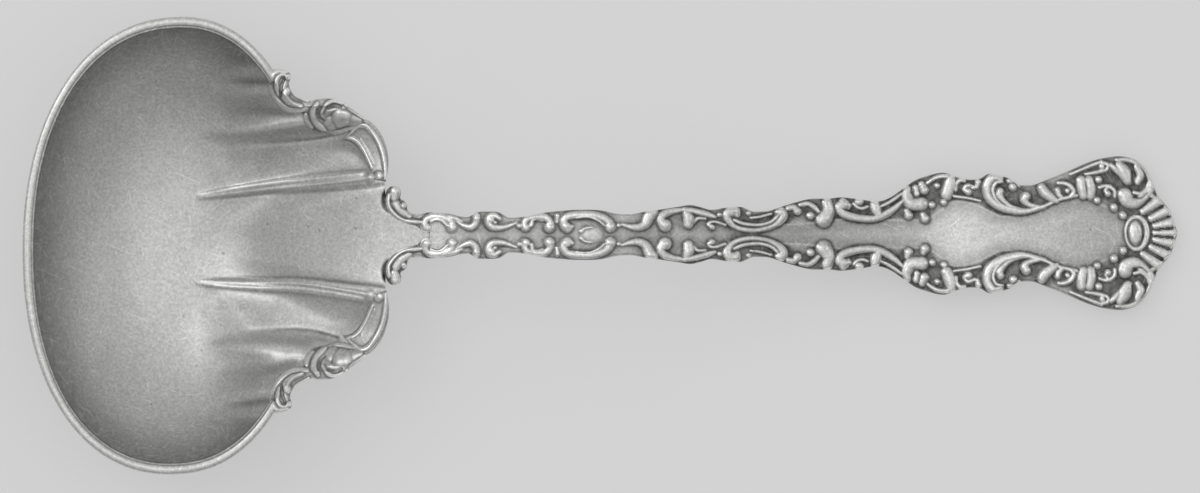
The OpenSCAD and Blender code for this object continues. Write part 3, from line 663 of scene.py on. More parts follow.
LEAF_SCROLL = {
    "outer": [(313, 101.2), (318, 99.4), (328, 98.8), (338, 100), (346, 103), (353.5, 109), (361, 114.8),
        (367.5, 119.6)],
    "inner": [(303.5, 114.5), (303.8, 120), (306.6, 126.6), (314.5, 131), (325, 133), (337, 135.8),
        (350, 132), (364, 123.2)],
    "slab": 0.8,
    "tarnish_and_painted_light": 0.65,
    "ridges": [
        (1.6, [(318.4, 104.6, 2), (313.8, 112.4, 2.8), (316, 122.4, 3), (324.5, 130, 2.6)]),
        (1.3, [(306.6, 116.4, 2.4), (307.6, 121.6, 3.2), (311.6, 126.8, 2.6)]),
        (2.2, [(322.5, 113, 1.2), (325, 108.5, 1.6), (328.6, 104.2, 1.8), (335.5, 101.4, 1.8),
            (343.5, 103.2, 2)]),
        (0.9, [(332, 124, 6)]),
        (1.3, [(340, 119.8, 7), (345.4, 119, 6.4)]),
        (0.7, [(351, 121, 5), (360, 121.6, 2.6)]),
        (1.6, [(345, 103, 1.4), (353, 109.6, 1.8), (361, 115.4, 1.8), (367, 119.8, 1.4)]),
        (0.7, [(326, 131, 2.4), (337, 133.6, 2.4), (349, 130, 2), (360, 124.4, 1.4)]),
    ],
    "cuts": [
        (1.2, [(329, 108.5, 3), (336, 106.6, 3.4), (341.5, 107.6, 2.4)]),
        (1.3, [(318.6, 109.5, 1.6), (320.6, 117, 1.8), (325, 121.5, 1.6)]),
        (1.2, [(349, 107.6, 1.4), (356, 112, 1.6), (365, 118, 1)]),
    ],
}
COVE_BORDER = {
    "outer": [(363, 117.4), (370, 121), (377.4, 127.6), (383.4, 137), (387.4, 148), (389.2, 158),
        (388.8, 170), (386.8, 182)],
    "inner": [(342, 141), (349.6, 141.6), (356, 145.6), (361.4, 152), (365.6, 159.6), (368.6, 166.4),
        (371.4, 172.6), (374, 180)],
    "slab": 0.3,
    "tarnish_and_painted_light": 0.35,
    "ridges": [
        (1.5, [(347, 137.4, 1.8), (352, 131.4, 2.2), (360, 126, 2.3), (367, 126.8, 2.3), (374, 133.6, 2.3),
            (380, 143.4, 2.3), (384, 155, 2.2), (385.8, 168, 2), (386, 179, 1.4)]),
        (1.6, [(349, 138.6, 1.6), (353, 139.4, 2), (358.4, 143, 2.2), (364.2, 151.2, 2.2),
            (368.6, 160, 2.1), (372.4, 167.6, 1.6)]),
        (1, [(361, 139.6, 0.9), (368, 151, 1), (374.4, 164, 1)]),
        (1.4, [(379.2, 175.8, 4.2)]),
    ],
    "cuts": [],
}


# Handle

HANDLE_PATCH = (380, 1190, 0, 92)
FIRST_COLUMN, END_COLUMN = 430.1, 1090
STEM_ROWS, END_ROWS, DROP_ROWS = 560, 110, 24
# Points of the under side across the handle, and the power of its section
UNDER = np.array([1, 0.93, 0.8, 0.5, 0, -0.5, -0.8, -0.93, -1])
UNDER_POWER = 6
EDGE_ROUND = 0.38
# Where thickness and ground change from the stem to the end, in shares of the length
THICKNESS_BLEND, GROUND_BLEND = (0.4, 0.3), (0.6, 0.1)

# Recesses and worn crests: reach in pixels and depth in millimetres
NARROW, WIDE, WORN_EDGES, WORN_CRESTS, CREST_SHARE = (1.8, 0.06), (6.0, 0.09), (1.6, 0.08), (5.0, 0.14), 0.6
# How dark recesses are at the neck, on the stem and at the end, and the columns where stem and end begin
NARROW_DARK, WIDE_DARK = (0.4, 0.75, 0.9), (0.1, 0.4, 0.85)
STEM_BLEND, END_BLEND = (430, 60), (600, 200)
# The plain panel is darker along its edges and at its two ends: painted shade of its slight curve, with some
# patina along its border.
# The stem is painted lighter next to the neck. A blend that runs towards the neck has its column below zero
PANEL_EDGE, PANEL_OUTSIDE = 3, -3
EDGE_TARNISH_AND_SHADE, EDGE_TARNISH_AND_SHADE_REACH = 0.28, 16
FRONT_SHADE, FRONT_SHADE_BLEND = 0.15, (-930, 100)
BACK_SHADE, BACK_SHADE_BLEND = 0.16, (985, 60)
NECK_PAINTED_LIGHT, NECK_PAINTED_LIGHT_BLEND = 0.35, (-470, 40)

# Drop: half width and thickness at its tip and at the bar, and where it begins to run out into the bar
DROP_HALF, DROP_THICKNESS, DROP_FADE = (0.3, 3.4), (0.5, 2.2), 3
# Share of its length over which it widens, how far and how late its sides turn up, and its least thickness
DROP_WIDENS, DROP_TURN_UP, DROP_TURN_POWER, DROP_LEAST = 0.8, 0.6, 4, 0.3


def halfway(a, b):
    return (a[0] + b[0]) / 2, (a[1] + b[1]) / 2


def shell_strokes():
    inner, outer = SHELL_WIDTHS
    middle = mix(inner, outer, 0.6)
    return [(1.0, [(*a, inner), (*halfway(a, b), middle), (*b, outer)]) for a, b in SHELL]


def shell_slits():
    inner, outer = SLIT_WIDTHS
    return [(SLIT_GAIN, [(*halfway(a, c), inner), (*halfway(b, d), outer)])
            for (a, b), (c, d) in zip(SHELL, SHELL[1:])]


def boss_shape(relief):
    """Oval dome on a flat disc, with a groove between them, over the whole map."""
    gx, gy = np.meshgrid(relief.x - BOSS_COLUMN, relief.y)
    dome = np.hypot(gx / BOSS_HALF[0], gy / BOSS_HALF[1])
    disc = np.hypot((gx - DISC_SHIFT) / DISC_HALF[0], gy / DISC_HALF[1])
    flat = ease((1 - disc) * min(DISC_HALF) / DISC_EDGE)
    groove = np.exp(-0.5 * ((dome - 1) * min(BOSS_HALF) / GROOVE_WIDTH) ** 2)
    return flat * (DISC_RISE - GROOVE_DEPTH * groove) + BOSS_RISE * np.clip(1 - dome**2, 0, 1) ** BOSS_POWER


def handle_relief():
    relief = Relief(*HANDLE_PATCH)
    beads = [(gain, [(x, y, w)]) for x, y, w, gain in BEADS]
    relief.raise_(handle_strokes(BORDER + beads + shell_strokes()))
    relief.cut(handle_strokes(BORDER_CUTS + shell_slits()))
    relief.height = np.maximum(relief.height, boss_shape(relief))
    relief.soften(HANDLE_SOFTNESS)
    return relief


def along_handle(shares, column):
    neck, stem, end = shares
    return mix(mix(neck, stem, ramp(column, *STEM_BLEND)), end, ramp(column, *END_BLEND))


def handle_tarnish_and_painted_light(relief):
    """Dark recesses beside strokes and between them outside the plain panel, and painted shade along the
    panel's edges and ends. Below zero on rubbed crests, and for the painted light on the stem next to the
    neck.
    """
    gx, gy = np.meshgrid(relief.x, relief.y)
    panel = np.where((gx > PANEL[0][0]) & (gx < PANEL[-1][0]), smooth(PANEL, gx), PANEL_OUTSIDE)
    narrow = relief.hollows(*NARROW) * along_handle(NARROW_DARK, gx)
    wide = relief.hollows(*WIDE) * along_handle(WIDE_DARK, gx) * ease((gy - panel) / PANEL_EDGE)
    # painted shade of the panel's curve, with some patina along its border
    darkened = EDGE_TARNISH_AND_SHADE * ease(1 - (panel - gy) / EDGE_TARNISH_AND_SHADE_REACH)
    darkened += FRONT_SHADE * ramp(-gx, *FRONT_SHADE_BLEND)
    darkened += BACK_SHADE * ramp(gx, *BACK_SHADE_BLEND)
    darkened = np.where(gy < panel, darkened, 0)
    worn_and_painted_light = np.maximum(relief.crests(*WORN_EDGES), CREST_SHARE * relief.crests(*WORN_CRESTS))
    # painted light on the stem next to the neck
    worn_and_painted_light += NECK_PAINTED_LIGHT * ramp(-gx, *NECK_PAINTED_LIGHT_BLEND)
    return 1 - (1 - narrow) * (1 - wide) * (1 - darkened) - worn_and_painted_light


def handle_plan(shares):
    """Plan of the handle's grid past the tongue, in pixels along and from the axis."""
    columns = np.concatenate([[FIRST_COLUMN], np.linspace(FIRST_COLUMN + 0.15, END_COLUMN, STEM_ROWS)])
    half = smooth(HALF_WIDTHS, columns)
    straight = np.stack([np.broadcast_to(columns[:, None], (len(columns), len(shares))),
                         half[:, None] * shares[None, :]], axis=-1)
    steps = np.linspace(0, 1, END_ROWS)[1:, None, None]
    side = evenly(END_SIDE, END_ROWS)[1:]
    side = np.stack([side[:, 0], axis_row(side[:, 0]) - side[:, 1]], axis=-1)
    share, column, row = np.array(END_TIPS).T
    size, sign = abs(shares), np.sign(shares)
    tip_x = smooth(np.stack([share, column], axis=1), size)
    tip_y = smooth(np.stack([share, axis_row(column) - row], axis=1), size) * sign
    end = np.stack([tip_x, tip_y], axis=-1)
    start = straight[-1]
    flat = (1 - steps) * start[None] + steps * end[None]
    pull = side - ((1 - steps[:, 0]) * abs(start[-1]) + steps[:, 0] * abs(end[-1]))
    flat[..., 0] += pull[:, None, 0] * size[None, :]
    flat[..., 1] += pull[:, None, 1] * shares[None, :]
    return np.vstack([straight, flat])


def edge_distance(plan):
    """Distance in millimetres from each place of the plan to the handle's outline."""
    rim = np.vstack([plan[:, 0], plan[-1], plan[:, -1]])
    rim = np.vstack([mix(rim[:-1], rim[1:], u) for u in (0, 0.25, 0.5, 0.75)])
    tree = kdtree.KDTree(len(rim))
    for k, p in enumerate(rim):
        tree.insert((p[0], p[1], 0), k)
    tree.balance()
    found = [tree.find((p[0], p[1], 0))[2] for p in plan.reshape(-1, 2)]
    return np.array(found).reshape(plan.shape[:2]) * PIXEL


def seat_ring(s, shares, back):
    """Section of the drop that carries the bowl. Its top follows the back of the sheet."""
    x = BOWL_BACK + s
    half = mix(*DROP_HALF, np.sqrt(ramp(s, -DROP_LENGTH, DROP_WIDENS * DROP_LENGTH)))
    y = np.concatenate([shares, UNDER]) * half
    z = back_z(back, x, y - drift(x)) - FILM
    middle = float(back_z(back, x, np.array(-drift(x)))) - FILM
    low = middle - mix(*DROP_THICKNESS, ramp(s, -DROP_LENGTH, DROP_LENGTH + TONGUE_LENGTH))
    low = mix(low, float(handle_z(s)) - STEM_THICKNESS / 2, ramp(s, -DROP_FADE, TONGUE_LENGTH + DROP_FADE))
    edge = low + (middle - low) * DROP_TURN_UP * abs(UNDER) ** DROP_TURN_POWER
    z[len(shares):] = np.minimum(edge, z[len(shares):] - DROP_LEAST)
    return np.stack([np.full_like(y, x), y, z], axis=1)


def bar_shares():
    """Places across the handle, closest at its edge, where it is rounded, and at its axis."""
    half = np.concatenate([np.linspace(0, 0.3, 14)[:-1], np.linspace(0.3, 0.955, 40),
                           [0.968, 0.979, 0.988, 0.995, 1]])
    return np.concatenate([-half[:0:-1], half])


def nearest(shares):
    """Place in shares of each point of the under side."""
    return np.round(np.interp(UNDER, shares, np.arange(len(shares)))).astype(int).tolist()


def bar_rings(relief, shares):
    plan = handle_plan(shares)
    column, off = plan[..., 0], abs(plan[..., 1])
    s = along(column)
    thick = mix(STEM_THICKNESS, END_THICKNESS, ramp(s / HANDLE_LENGTH, *THICKNESS_BLEND))
    ground = mix(STEM_GROUND, END_GROUND, ramp(s / HANDLE_LENGTH, *GROUND_BLEND)) * thick
    round_off = quarter_round(edge_distance(plan) / EDGE_ROUND)
    z = handle_z(s) + (ground + relief.z(column, off)) * round_off
    top = np.stack([BOWL_BACK + s, plan[..., 1] * PIXEL, z], axis=-1)
    pick = nearest(shares)
    below = top[:, pick].copy()
    below[..., 2] = handle_z(s[:, pick]) - thick[:, pick] / 2 * (1 - abs(UNDER)[None, :] ** UNDER_POWER)
    dark = relief.at(handle_tarnish_and_painted_light(relief), column, off)
    return np.concatenate([top, below], axis=1), np.concatenate([dark, np.zeros(below.shape[:2])], axis=1)


def end_wall(shares):
    """Triangles of the wall between the top and the under edge of a ring, as places in that ring."""
    pick = nearest(shares)
    count = len(shares)
    faces = []
    for k in range(len(UNDER) - 1):
        faces += [[count + k, j - 1, j] for j in range(pick[k], pick[k + 1], -1)]
        faces.append([count + k, count + k + 1, pick[k + 1]])
    return faces


NECK_PATCH = (376, 440, 0, 60, 0.25)
NECK_ROWS, NECK_COLUMNS = 110, 30
# Lift of the scroll over the middle of the bar, its height on the tongue and on the stem, and its depth
NECK_LIFT, NECK_SLAB, NECK_SLAB_BLEND, NECK_DEPTH = 0.25, (0.7, 0.5), (414, 8), 1.1
NECK_DARK, NECK_WORN_EDGES = 0.85, (1.6, 0.07)
# Rows of its rounded tip, power of its section, and how far it keeps clear of the tongue and reaches past it
NECK_TIP_ROWS, NECK_POWER, NECK_CLEAR, NECK_MARGIN = 5, 6, 0.01, 0.1


def neck_scroll():
    """Scroll that clasps one side of the tongue."""
    relief = Relief(*NECK_PATCH)
    relief.raise_(handle_strokes(NECK + [BORDER[0]]))
    relief.soften(NECK_SOFTNESS)
    grid = strip(NECK_LEFT, NECK_RIGHT, NECK_ROWS, NECK_COLUMNS)
    column, off = grid[..., 0], axis_row(grid[..., 0]) - grid[..., 1]
    s = along(column)
    side = np.linspace(-1, 1, NECK_COLUMNS)[None, :]
    tip = np.where(np.arange(NECK_ROWS) < NECK_ROWS / 2, rounded_ends(NECK_ROWS, NECK_TIP_ROWS), 1)[:, None]
    round_off = np.sqrt(np.clip(1 - abs(side) ** NECK_POWER, 0, 1)) * tip
    middle = handle_z(np.maximum(s, 0)) + NECK_LIFT
    z = middle + (mix(*NECK_SLAB, ramp(column, *NECK_SLAB_BLEND)) + relief.z(column, off)) * round_off
    base = middle - NECK_DEPTH * round_off
    x, y = BOWL_BACK + s, off * PIXEL
    r, angle = polar(x, y - drift(x))
    over_tongue = r < edge_radius(angle) + NECK_MARGIN
    base = np.where(over_tongue, inner_z(r, angle) + NECK_CLEAR, base)
    z = np.where(over_tongue, np.maximum(z, base + NECK_CLEAR), z)
    dark = NECK_DARK * relief.hollows(*NARROW) - relief.crests(*NECK_WORN_EDGES)
    return plaque(np.stack([x, y, z], axis=-1), base, relief.at(dark, column, off))


def make_handle(material, back):
    shares = bar_shares()
    bar, dark = bar_rings(handle_relief(), shares)
    seat = np.array([seat_ring(s, shares, back) for s in np.linspace(-DROP_LENGTH, TONGUE_LENGTH, DROP_ROWS)])
    dark = np.concatenate([np.zeros(seat.shape[:2]), dark])
    body, body_dark = skin(np.concatenate([seat, bar]), dark, end_wall(shares))
    scroll, scroll_dark = skin(*neck_scroll())
    mesh = joined([body, scroll, mirrored(scroll)])
    tarnish_and_painted_light = np.concatenate([body_dark, scroll_dark, scroll_dark])
    piece("handle", mesh, tarnish_and_painted_light, material)


# Bowl and its mounts

BOWL_PATCH = (170, 400, 0, 180)
# Share of the relief that shows on the back of the sheet
BACK_RELIEF = 0.7
# How far, in pixels, the left rib and its flutes lie closer to the axis than the right ones, and the blends
# of that along the bowl, from the axis and towards the lip, below zero for one that runs backwards
LEFT_SHIFT, SHIFT_COLUMN, SHIFT_NEAR, SHIFT_FAR = 11.0, (-395, 110), (0, 30), (-150, 70)
BOWL_WORN, BOWL_CRESTS = 0.5, (4.0, 0.14)
# Darkening of the wall close under the lip wire, how far it reaches down, and the angles where it begins
LIP_SHADE, LIP_SHADE_REACH, LIP_SHADE_BLEND = 0.55, 8.0, (55, 15)
# Half of the shoulder's angle in the mesh, and the steps across the shoulder and around the rest
FINE_ANGLE, FINE_STEPS, LIP_STEPS = 72, 400, 130


def bowl_relief():
    relief = Relief(*BOWL_PATCH)
    relief.raise_(bowl_strokes(RIBS))
    relief.cut(bowl_strokes(RIB_CUTS))
    relief.swell(bowl_strokes(FOLDS))
    relief.soften(BOWL_SOFTNESS)
    return relief


def back_relief():
    """Relief of the bowl as it shows on the back of the sheet, where it is softer."""
    relief = bowl_relief()
    relief.soften(BACK_SOFTNESS)
    return relief


def bowl_pixels(x, y):
    """Place of the bowl, before its drift, in the pixels of a relief map."""
    column, off = NECK_COLUMN + (x - BOWL_BACK) / PIXEL, abs(y) / PIXEL
    closer = LEFT_SHIFT * ramp(-column, *SHIFT_COLUMN) * ramp(off, *SHIFT_NEAR) * ramp(-off, *SHIFT_FAR)
    return column, off + np.where(y < 0, closer, 0)


def back_z(relief, x, y):
    """Height of the back of the sheet at a place of the bowl, before its drift."""
    return outer_z(*polar(x, y)) + BACK_RELIEF * relief.z(*bowl_pixels(x, y))


def bowl_tarnish_and_painted_light(relief, stain_and_light_marks):
    """Patina in grooves, painted shade and painted shadow of the bowl, with rubbed crests and painted
    highlights below zero.
    """
    unmarked = np.ones(relief.height.shape)
    for stroke in bowl_strokes(stain_and_light_marks):
        stain_and_light_mark = Relief(*BOWL_PATCH)
        stain_and_light_mark.swell([stroke])
        unmarked *= 1 - stain_and_light_mark.height
    return 1 - unmarked - BOWL_WORN * relief.crests(*BOWL_CRESTS)


def half_turns(angles):
    return np.where(angles > 180, angles - 360, angles)


def make_bowl(material, back):
    relief = bowl_relief()
    shoulder = np.linspace(-FINE_ANGLE, FINE_ANGLE, FINE_STEPS)
    lip = np.linspace(FINE_ANGLE, 360 - FINE_ANGLE, LIP_STEPS)[1:-1]
    angles = half_turns(np.concatenate([shoulder, lip]))
    a = np.radians(angles)
    edge = edge_radius(angles)
    right, left = bowl_tarnish_and_painted_light(relief, STAINS_AND_PAINTED_LIGHT + RIGHT_PAINTED_LIGHT), bowl_tarnish_and_painted_light(relief, STAINS_AND_PAINTED_LIGHT + LEFT_PAINTED_SHADE)
    under_lip = LIP_SHADE * ramp(abs(angles), *LIP_SHADE_BLEND)
    rings, dark = [], []

    def inside(r):
        x, y = r * np.cos(a), r * np.sin(a)
        place = bowl_pixels(x, y)
        rings.append(np.stack([x, y, inner_z(r, angles) + relief.z(*place)], axis=1))
        # patina with painted shade, shadow and highlights, then painted shade on the wall under the lip wire
        stain_and_light_mark = np.where(y < 0, relief.at(left, *place), relief.at(right, *place))
        dark.append(stain_and_light_mark + under_lip * ease(1 - (edge - r) / LIP_SHADE_REACH))

    def outside(r):
        x, y = r * np.cos(a), r * np.sin(a)
        rings.append(np.stack([x, y, np.maximum(back_z(back, x, y), 0)], axis=1))
        dark.append(np.zeros_like(x))

    for u in np.linspace(0.05, 1, 10)[:-1]:
        inside(np.full_like(edge, u * BASE_FLAT_R))
    for u in [*np.linspace(0, 0.985, 91), 0.994, 0.998, 1]:
        inside(mix(BASE_FLAT_R, edge, u))
    for u in [1, 0.998, *np.linspace(0.985, 0, 45)]:
        outside(mix(BASE_FLAT_R, edge, u))
    mesh, shade = skin(leaned(rings), np.array(dark))
    piece("bowl", mesh, shade, material)


# Lip wire: steps along and around it, degrees left free at its ends, the sections of its two beads, and how
# much darker the thin bead is throughout
WIRE_STEPS, WIRE_SIDES, WIRE_INSET = 300, 20, 0.8
BEAD_HALF, BEAD_OUT, BEAD_TOP = 0.74, 0.16, 0.55
THIN_HALF, THIN_OUT, THIN_UP, THIN_TOP, THIN_DARKER = 0.27, -0.62, 0.04, 0.24, 0.6
# Wear on top of the wire, painted shade on its lower half, and dirt along its inner side
WIRE_WORN, WIRE_LOW_SHADE, WIRE_INNER_DARK, WIRE_INNER_START = 0.15, 0.7, 0.5, 0.3


def make_lip_wire(material):
    """Bead that stands on the edge of the sheet, with a thin second bead along its inner side."""
    turn = np.radians(np.linspace(0, 360, WIRE_SIDES + 1)[:-1])
    sine, cosine = np.sin(turn), np.cos(turn)
    half = np.where(sine > 0, BEAD_TOP, LIP_WIRE_D / 2 + 2 * FILM)
    bead = np.stack([BEAD_OUT + BEAD_HALF * cosine, half * sine], axis=1)
    thin = np.stack([THIN_OUT + THIN_HALF * cosine, THIN_UP + THIN_TOP * sine], axis=1)
    # painted shade on the lower half of the bead, wear on its top
    dirt_and_painted_shade = -np.where(sine > 0, WIRE_WORN, WIRE_LOW_SHADE) * sine
    dirt_and_painted_shade += WIRE_INNER_DARK * np.clip(-cosine - WIRE_INNER_START, 0, 1)
    first = LIP_START + WIRE_INSET
    angles = half_turns(np.linspace(first, 360 - first, WIRE_STEPS))
    r = edge_radius(angles)
    z = inner_z(r, angles) + LIP_WIRE_D / 2 + FILM
    out = np.radians(angles)[:, None]
    tubes, dark = [], []
    for section, darkened in ((bead, 0), (thin, THIN_DARKER)):
        reach = r[:, None] + section[:, 0]
        rings = np.stack([reach * np.cos(out), reach * np.sin(out), z[:, None] + section[:, 1]], axis=-1)
        tube, shade = skin(leaned(rings), np.broadcast_to(dirt_and_painted_shade + darkened, reach.shape))
        tubes.append(tube)
        dark.append(shade)
    piece("lip_wire", joined(tubes), np.concatenate(dark), material)


MOUNT_PATCH = (255, 400, 40, 180, 0.25)
MOUNT_ROWS, MOUNT_COLUMNS = 130, 56
MOUNT_HOLLOWS, MOUNT_CRESTS = (1.6, 0.07), (1.6, 0.09)
# Section of the slab: power of its rounded sides, rows of its rounded ends, crown, and thickness at its edge
MOUNT_POWER, MOUNT_END_ROWS, MOUNT_CROWN, MOUNT_LEAST = 10, 4, 0.3, 0.05


def make_mounts(name, form, material):
    """Left and right copy of one mount of the shoulder."""
    relief = Relief(*MOUNT_PATCH)
    relief.raise_(bowl_strokes(form["ridges"]))
    relief.cut(bowl_strokes(form["cuts"]))
    relief.soften(MOUNT_SOFTNESS)
    grid = strip(form["outer"], form["inner"], MOUNT_ROWS, MOUNT_COLUMNS)
    column, row = grid[..., 0], grid[..., 1]
    x = BOWL_BACK + along(column)
    y = (axis_row(column) - row) * PIXEL - drift(x)
    side = np.linspace(-1, 1, MOUNT_COLUMNS)[None, :]
    ends = rounded_ends(MOUNT_ROWS, MOUNT_END_ROWS)[:, None]
    round_off = np.sqrt(np.clip(1 - abs(side) ** MOUNT_POWER, 0, 1)) * ends
    place = bowl_pixels(x, y)
    base = sheet_z(x, y) + FILM
    body = form["slab"] * (1 + MOUNT_CROWN * (1 - side**2))
    z = base + MOUNT_LEAST + (body + relief.z(*place)) * round_off
    dark = form["tarnish_and_painted_light"] * relief.hollows(*MOUNT_HOLLOWS) - relief.crests(*MOUNT_CRESTS)
    mesh, shade = skin(*plaque(np.stack([x, y, z], axis=-1), base, relief.at(dark, *place)))
    for hand, (points, faces) in (("right_", mesh), ("left_", mirrored(mesh))):
        piece(hand + name, (leaned(points), faces), shade, material)


# Materials

class Nodes:
    """Nodes of one material or world. Each input is given as a value or as the output to link to it."""

    def __init__(self, owner):
        owner.use_nodes = True
        self.tree = owner.node_tree

    def put(self, socket, value):
        if isinstance(value, bpy.types.NodeSocket):
            self.tree.links.new(value, socket)
        else:
            socket.default_value = value

    def fill(self, name, inputs):
        for key, value in inputs.items():
            self.put(self.tree.nodes[name].inputs[key], value)

    def add(self, kind, inputs, **settings):
        made = self.tree.nodes.new("ShaderNode" + kind)
        for key, value in settings.items():
            setattr(made, key, value)
        self.fill(made.name, inputs)
        return made

    def place(self, kind="Object"):
        return self.add("TexCoord", {}).outputs[kind]

    def noise(self, scale, detail, vector):
        return self.add("TexNoise", {"Scale": scale, "Detail": detail, "Vector": vector}).outputs["Fac"]

    def remap(self, value, low, high, to_low, to_high):
        ends = {"From Min": low, "From Max": high, "To Min": to_low, "To Max": to_high}
        return self.add("MapRange", {"Value": value, **ends}).outputs["Result"]

    def math(self, operation, a, b):
        return self.add("Math", {0: a, 1: b}, operation=operation).outputs["Value"]

    def times(self, a, b):
        return self.math("MULTIPLY", a, b)


# Scratches: direction in degrees, scale along and across it, and the noise above which they show
SCRATCHES = [(25, 220, 3600, 0.65), (-38, 260, 3200, 0.66), (80, 260, 3200, 0.66), (-5, 260, 3200, 0.68),
             (55, 260, 3200, 0.67), (-68, 260, 3200, 0.67)]
# Mottled tone: scale and detail of the noise, and the factors it runs between
MOTTLE = [(110, 4.0, 0.95, 1.04), (2200, 2.0, 0.86, 1.14), (6400, 1.0, 0.92, 1.08)]
NOISE_LOW, NOISE_HIGH = 0.3, 0.7
# How dark patina and painted shade make the tone, how dark pits are, how much scratches lift it, and how much
# rubbing and painted light brighten it
DIRT_AND_SHADE_DARK, PIT_DARK, SCRATCH_LIFT, WEAR_AND_LIGHT_GAIN = 0.91, 0.3, 0.13, 1.6
TINT = {"Red": 1.0, "Green": 1.0, "Blue": 0.985}
DIRT_ROUGH, WEAR_SMOOTH = 0.15, 0.08
BUMP_STRENGTH, BUMP_DISTANCE, GRAIN_BUMP, SCRATCH_BUMP, SCRATCH_EDGE = 0.5, 0.00004, 0.35, 0.35, 0.06


def scratch_lines(nodes, place):
    """Fine straight scratches, as shares from 0 to 1."""
    lines = 0.0
    for angle, length, width, share in SCRATCHES:
        turned = nodes.add("Mapping", {"Rotation": (0, 0, math.radians(angle)), "Vector": place})
        drawn = nodes.add("Mapping", {"Scale": (length, width, length), "Vector": turned.outputs["Vector"]})
        line = nodes.remap(nodes.noise(1.0, 2.0, drawn.outputs["Vector"]), share, share + SCRATCH_EDGE, 0, 1)
        lines = nodes.math("MAXIMUM", lines, line)
    return lines


def pit_spots(nodes, place):
    """Small round pits in patches, as shares from 0 to 1."""
    spots = nodes.add("TexVoronoi", {"Scale": 420, "Vector": place}).outputs["Distance"]
    patches = nodes.remap(nodes.noise(160, 1.0, place), 0.56, 0.62, 0, 1)
    return nodes.times(nodes.remap(spots, 0.07, 0.13, 1, 0), patches)


def dirt_wear_and_painted_light(nodes, place):
    """Shares of patina with painted shade, and of rubbed metal with painted light, from the mesh's attribute
    above and below zero, broken up a little.
    """
    tarnish_and_painted_light = nodes.add("Attribute", {}, attribute_name="tarnish_and_painted_light").outputs["Fac"]
    dirt_and_painted_shade = nodes.math("MAXIMUM", tarnish_and_painted_light, 0.0)
    dirt_and_painted_shade = nodes.times(dirt_and_painted_shade, nodes.remap(nodes.noise(900, 3.0, place), 0.25, 0.6, 0.75, 1))
    wear_and_painted_light = nodes.math("MAXIMUM", nodes.times(tarnish_and_painted_light, -1.0), 0.0)
    wear_and_painted_light = nodes.times(wear_and_painted_light, nodes.remap(nodes.noise(700, 3.0, place), 0.3, 0.6, 0.6, 1))
    return dirt_and_painted_shade, wear_and_painted_light


def silver(name, tone, roughness):
    """Worn satin silver: mottled tone, fine scratches, pits, and dark recesses where the mesh has patina,
    with the painted shade and painted light that the mesh carries beside it.
    """
    material = bpy.data.materials.new(name)
    nodes = Nodes(material)
    place = nodes.place()
    lines, pits = scratch_lines(nodes, place), pit_spots(nodes, place)
    dirt_and_painted_shade, wear_and_painted_light = dirt_wear_and_painted_light(nodes, place)

    level = tone
    for scale, detail, low, high in MOTTLE:
        mottle = nodes.remap(nodes.noise(scale, detail, place), NOISE_LOW, NOISE_HIGH, low, high)
        level = nodes.times(level, mottle)
    # lighter where rubbed and where light is painted, darker with patina and painted shade
    level = nodes.times(level, nodes.remap(wear_and_painted_light, 0, 1, 1.0, WEAR_AND_LIGHT_GAIN))
    dark = nodes.times(dirt_and_painted_shade, DIRT_AND_SHADE_DARK)
    dark = nodes.math("MAXIMUM", dark, nodes.times(pits, PIT_DARK))
    level = nodes.times(level, nodes.math("SUBTRACT", 1.0, dark))
    level = nodes.math("ADD", level, nodes.times(lines, SCRATCH_LIFT))
    tints = {key: nodes.times(level, tint) for key, tint in TINT.items()}
    colour = nodes.add("CombineColor", tints).outputs["Color"]

    uneven = nodes.noise(300, 4.0, place)
    rough = nodes.remap(uneven, NOISE_LOW, NOISE_HIGH, roughness - 0.05, roughness + 0.06)
    rough = nodes.math("ADD", rough, nodes.times(dirt_and_painted_shade, DIRT_ROUGH))
    rough = nodes.math("SUBTRACT", rough, nodes.times(wear_and_painted_light, WEAR_SMOOTH))

    height = nodes.times(nodes.noise(5200, 3.0, place), GRAIN_BUMP)
    height = nodes.math("SUBTRACT", height, nodes.times(lines, SCRATCH_BUMP))
    height = nodes.math("SUBTRACT", height, pits)
    bump = nodes.add("Bump", {"Strength": BUMP_STRENGTH, "Distance": BUMP_DISTANCE, "Height": height})
    nodes.fill("Principled BSDF", {"Metallic": 1.0, "Base Color": colour, "Roughness": rough,
                                   "Normal": bump.outputs["Normal"]})
    return material


PAPER_TONES = (0.75, 0.77)
EVEN_SHARE = 0.5


def paper():
    """Pale paper. Half of what the eye sees is even, so that the shadow on it stays faint."""
    material = bpy.data.materials.new("paper")
    nodes = Nodes(material)
    fibre = nodes.add("TexNoise", {"Scale": 30, "Vector": nodes.place()})
    ramp_node = nodes.add("ValToRGB", {"Fac": fibre.outputs["Fac"]})
    for stop, tone in zip(ramp_node.color_ramp.elements, PAPER_TONES):
        stop.color = (tone, tone, tone, 1)
    colour = ramp_node.outputs["Color"]
    nodes.fill("Principled BSDF", {"Roughness": 0.9, "Specular IOR Level": 0.1, "Base Color": colour})
    even = nodes.add("Emission", {"Strength": 1.0, "Color": colour})
    path = nodes.add("LightPath", {}).outputs
    seen = nodes.math("MAXIMUM", path["Is Camera Ray"], path["Is Glossy Ray"])
    seen = nodes.math("MAXIMUM", seen, path["Is Transmission Ray"])
    share = nodes.times(seen, EVEN_SHARE)
    lit = material.node_tree.nodes["Principled BSDF"].outputs["BSDF"]
    blend = nodes.add("MixShader", {"Fac": share, 1: lit, 2: even.outputs["Emission"]})
    nodes.fill("Material Output", {"Surface": blend.outputs["Shader"]})
    return material


# Stage

FLOOR_HALF = 6.0
FOCUS = (0.0652, -0.0018, 0.010)
FRAME_WIDTH = PHOTO_WIDTH * PIXEL / 1000
LENS, SENSOR_WIDTH, CAMERA_TURN = 400, 36, -0.2


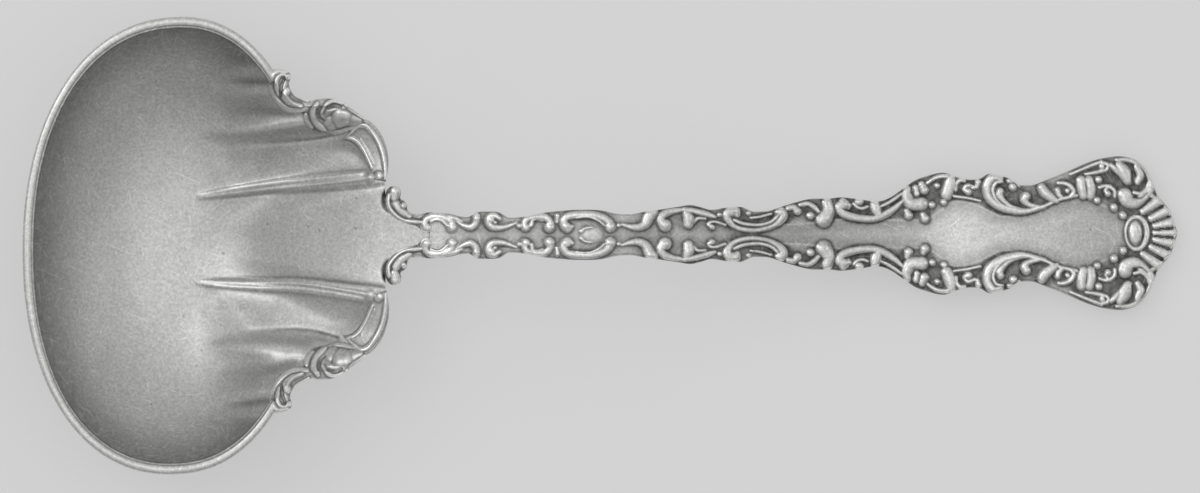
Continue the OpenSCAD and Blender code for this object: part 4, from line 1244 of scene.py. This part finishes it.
def make_floor():
    data = bpy.data.meshes.new("floor")
    corners = [(x * FLOOR_HALF, y * FLOOR_HALF, 0) for x, y in ((-1, -1), (1, -1), (1, 1), (-1, 1))]
    data.from_pydata(corners, [], [(0, 1, 2, 3)])
    data.materials.append(paper())
    floor = placed("floor", data)


def make_light(name, place, size, power):
    data = bpy.data.lights.new(name, "AREA")
    data.shape = "DISK"
    data.size = size
    data.energy = power
    lamp = placed(name, data)
    lamp.location = place
    lamp.rotation_mode = "QUATERNION"
    lamp.rotation_quaternion = (Vector(FOCUS) - Vector(place)).to_track_quat("-Z", "Y")


def make_world(brightest, horizon, zenith):
    """Even tent of light, palest towards one direction and dimmer at the horizon."""
    world = bpy.data.worlds.new("studio")
    nodes = Nodes(world)
    ends = {0: nodes.place("Generated"), 1: Vector(brightest).normalized()}
    toward = nodes.add("VectorMath", ends, operation="DOT_PRODUCT").outputs["Value"]
    nodes.fill("Background", {"Color": (1, 1, 1, 1), "Strength": nodes.remap(toward, 0, 1, horizon, zenith)})
    bpy.context.scene.world = world


def make_camera():
    """Camera straight above, turned as the photograph is."""
    data = bpy.data.cameras.new("camera")
    data.lens = LENS
    data.sensor_width = SENSOR_WIDTH
    camera = placed("camera", data)
    distance = FRAME_WIDTH * LENS / SENSOR_WIDTH
    camera.location = (FOCUS[0], FOCUS[1], FOCUS[2] + distance)
    camera.rotation_euler = (0, 0, math.radians(CAMERA_TURN))
    bpy.context.scene.camera = camera


bowl_silver = silver("bowl_silver", 0.62, 0.42)
mount_silver = silver("mount_silver", 0.64, 0.32)
handle_silver = silver("handle_silver", 0.6, 0.27)
bowl_back = back_relief()
make_bowl(bowl_silver, bowl_back)
make_lip_wire(mount_silver)
make_mounts("lip_scroll", LIP_SCROLL, mount_silver)
make_mounts("leaf_scroll", LEAF_SCROLL, mount_silver)
make_mounts("cove_border", COVE_BORDER, mount_silver)
make_handle(handle_silver, bowl_back)

make_floor()
make_light("overhead softbox", (0.1, 0.2, 2.4), 1.2, 1.3)
make_light("side softbox", (1.8, 0.3, 0.85), 1.0, 0.9)
make_light("key softbox", (-1.1, 0.75, 1.5), 1.25, 4.0)
make_world((-0.05, 0.26, 0.96), 0.3, 0.8)
make_camera()
bpy.context.scene.view_settings.view_transform = "Standard"
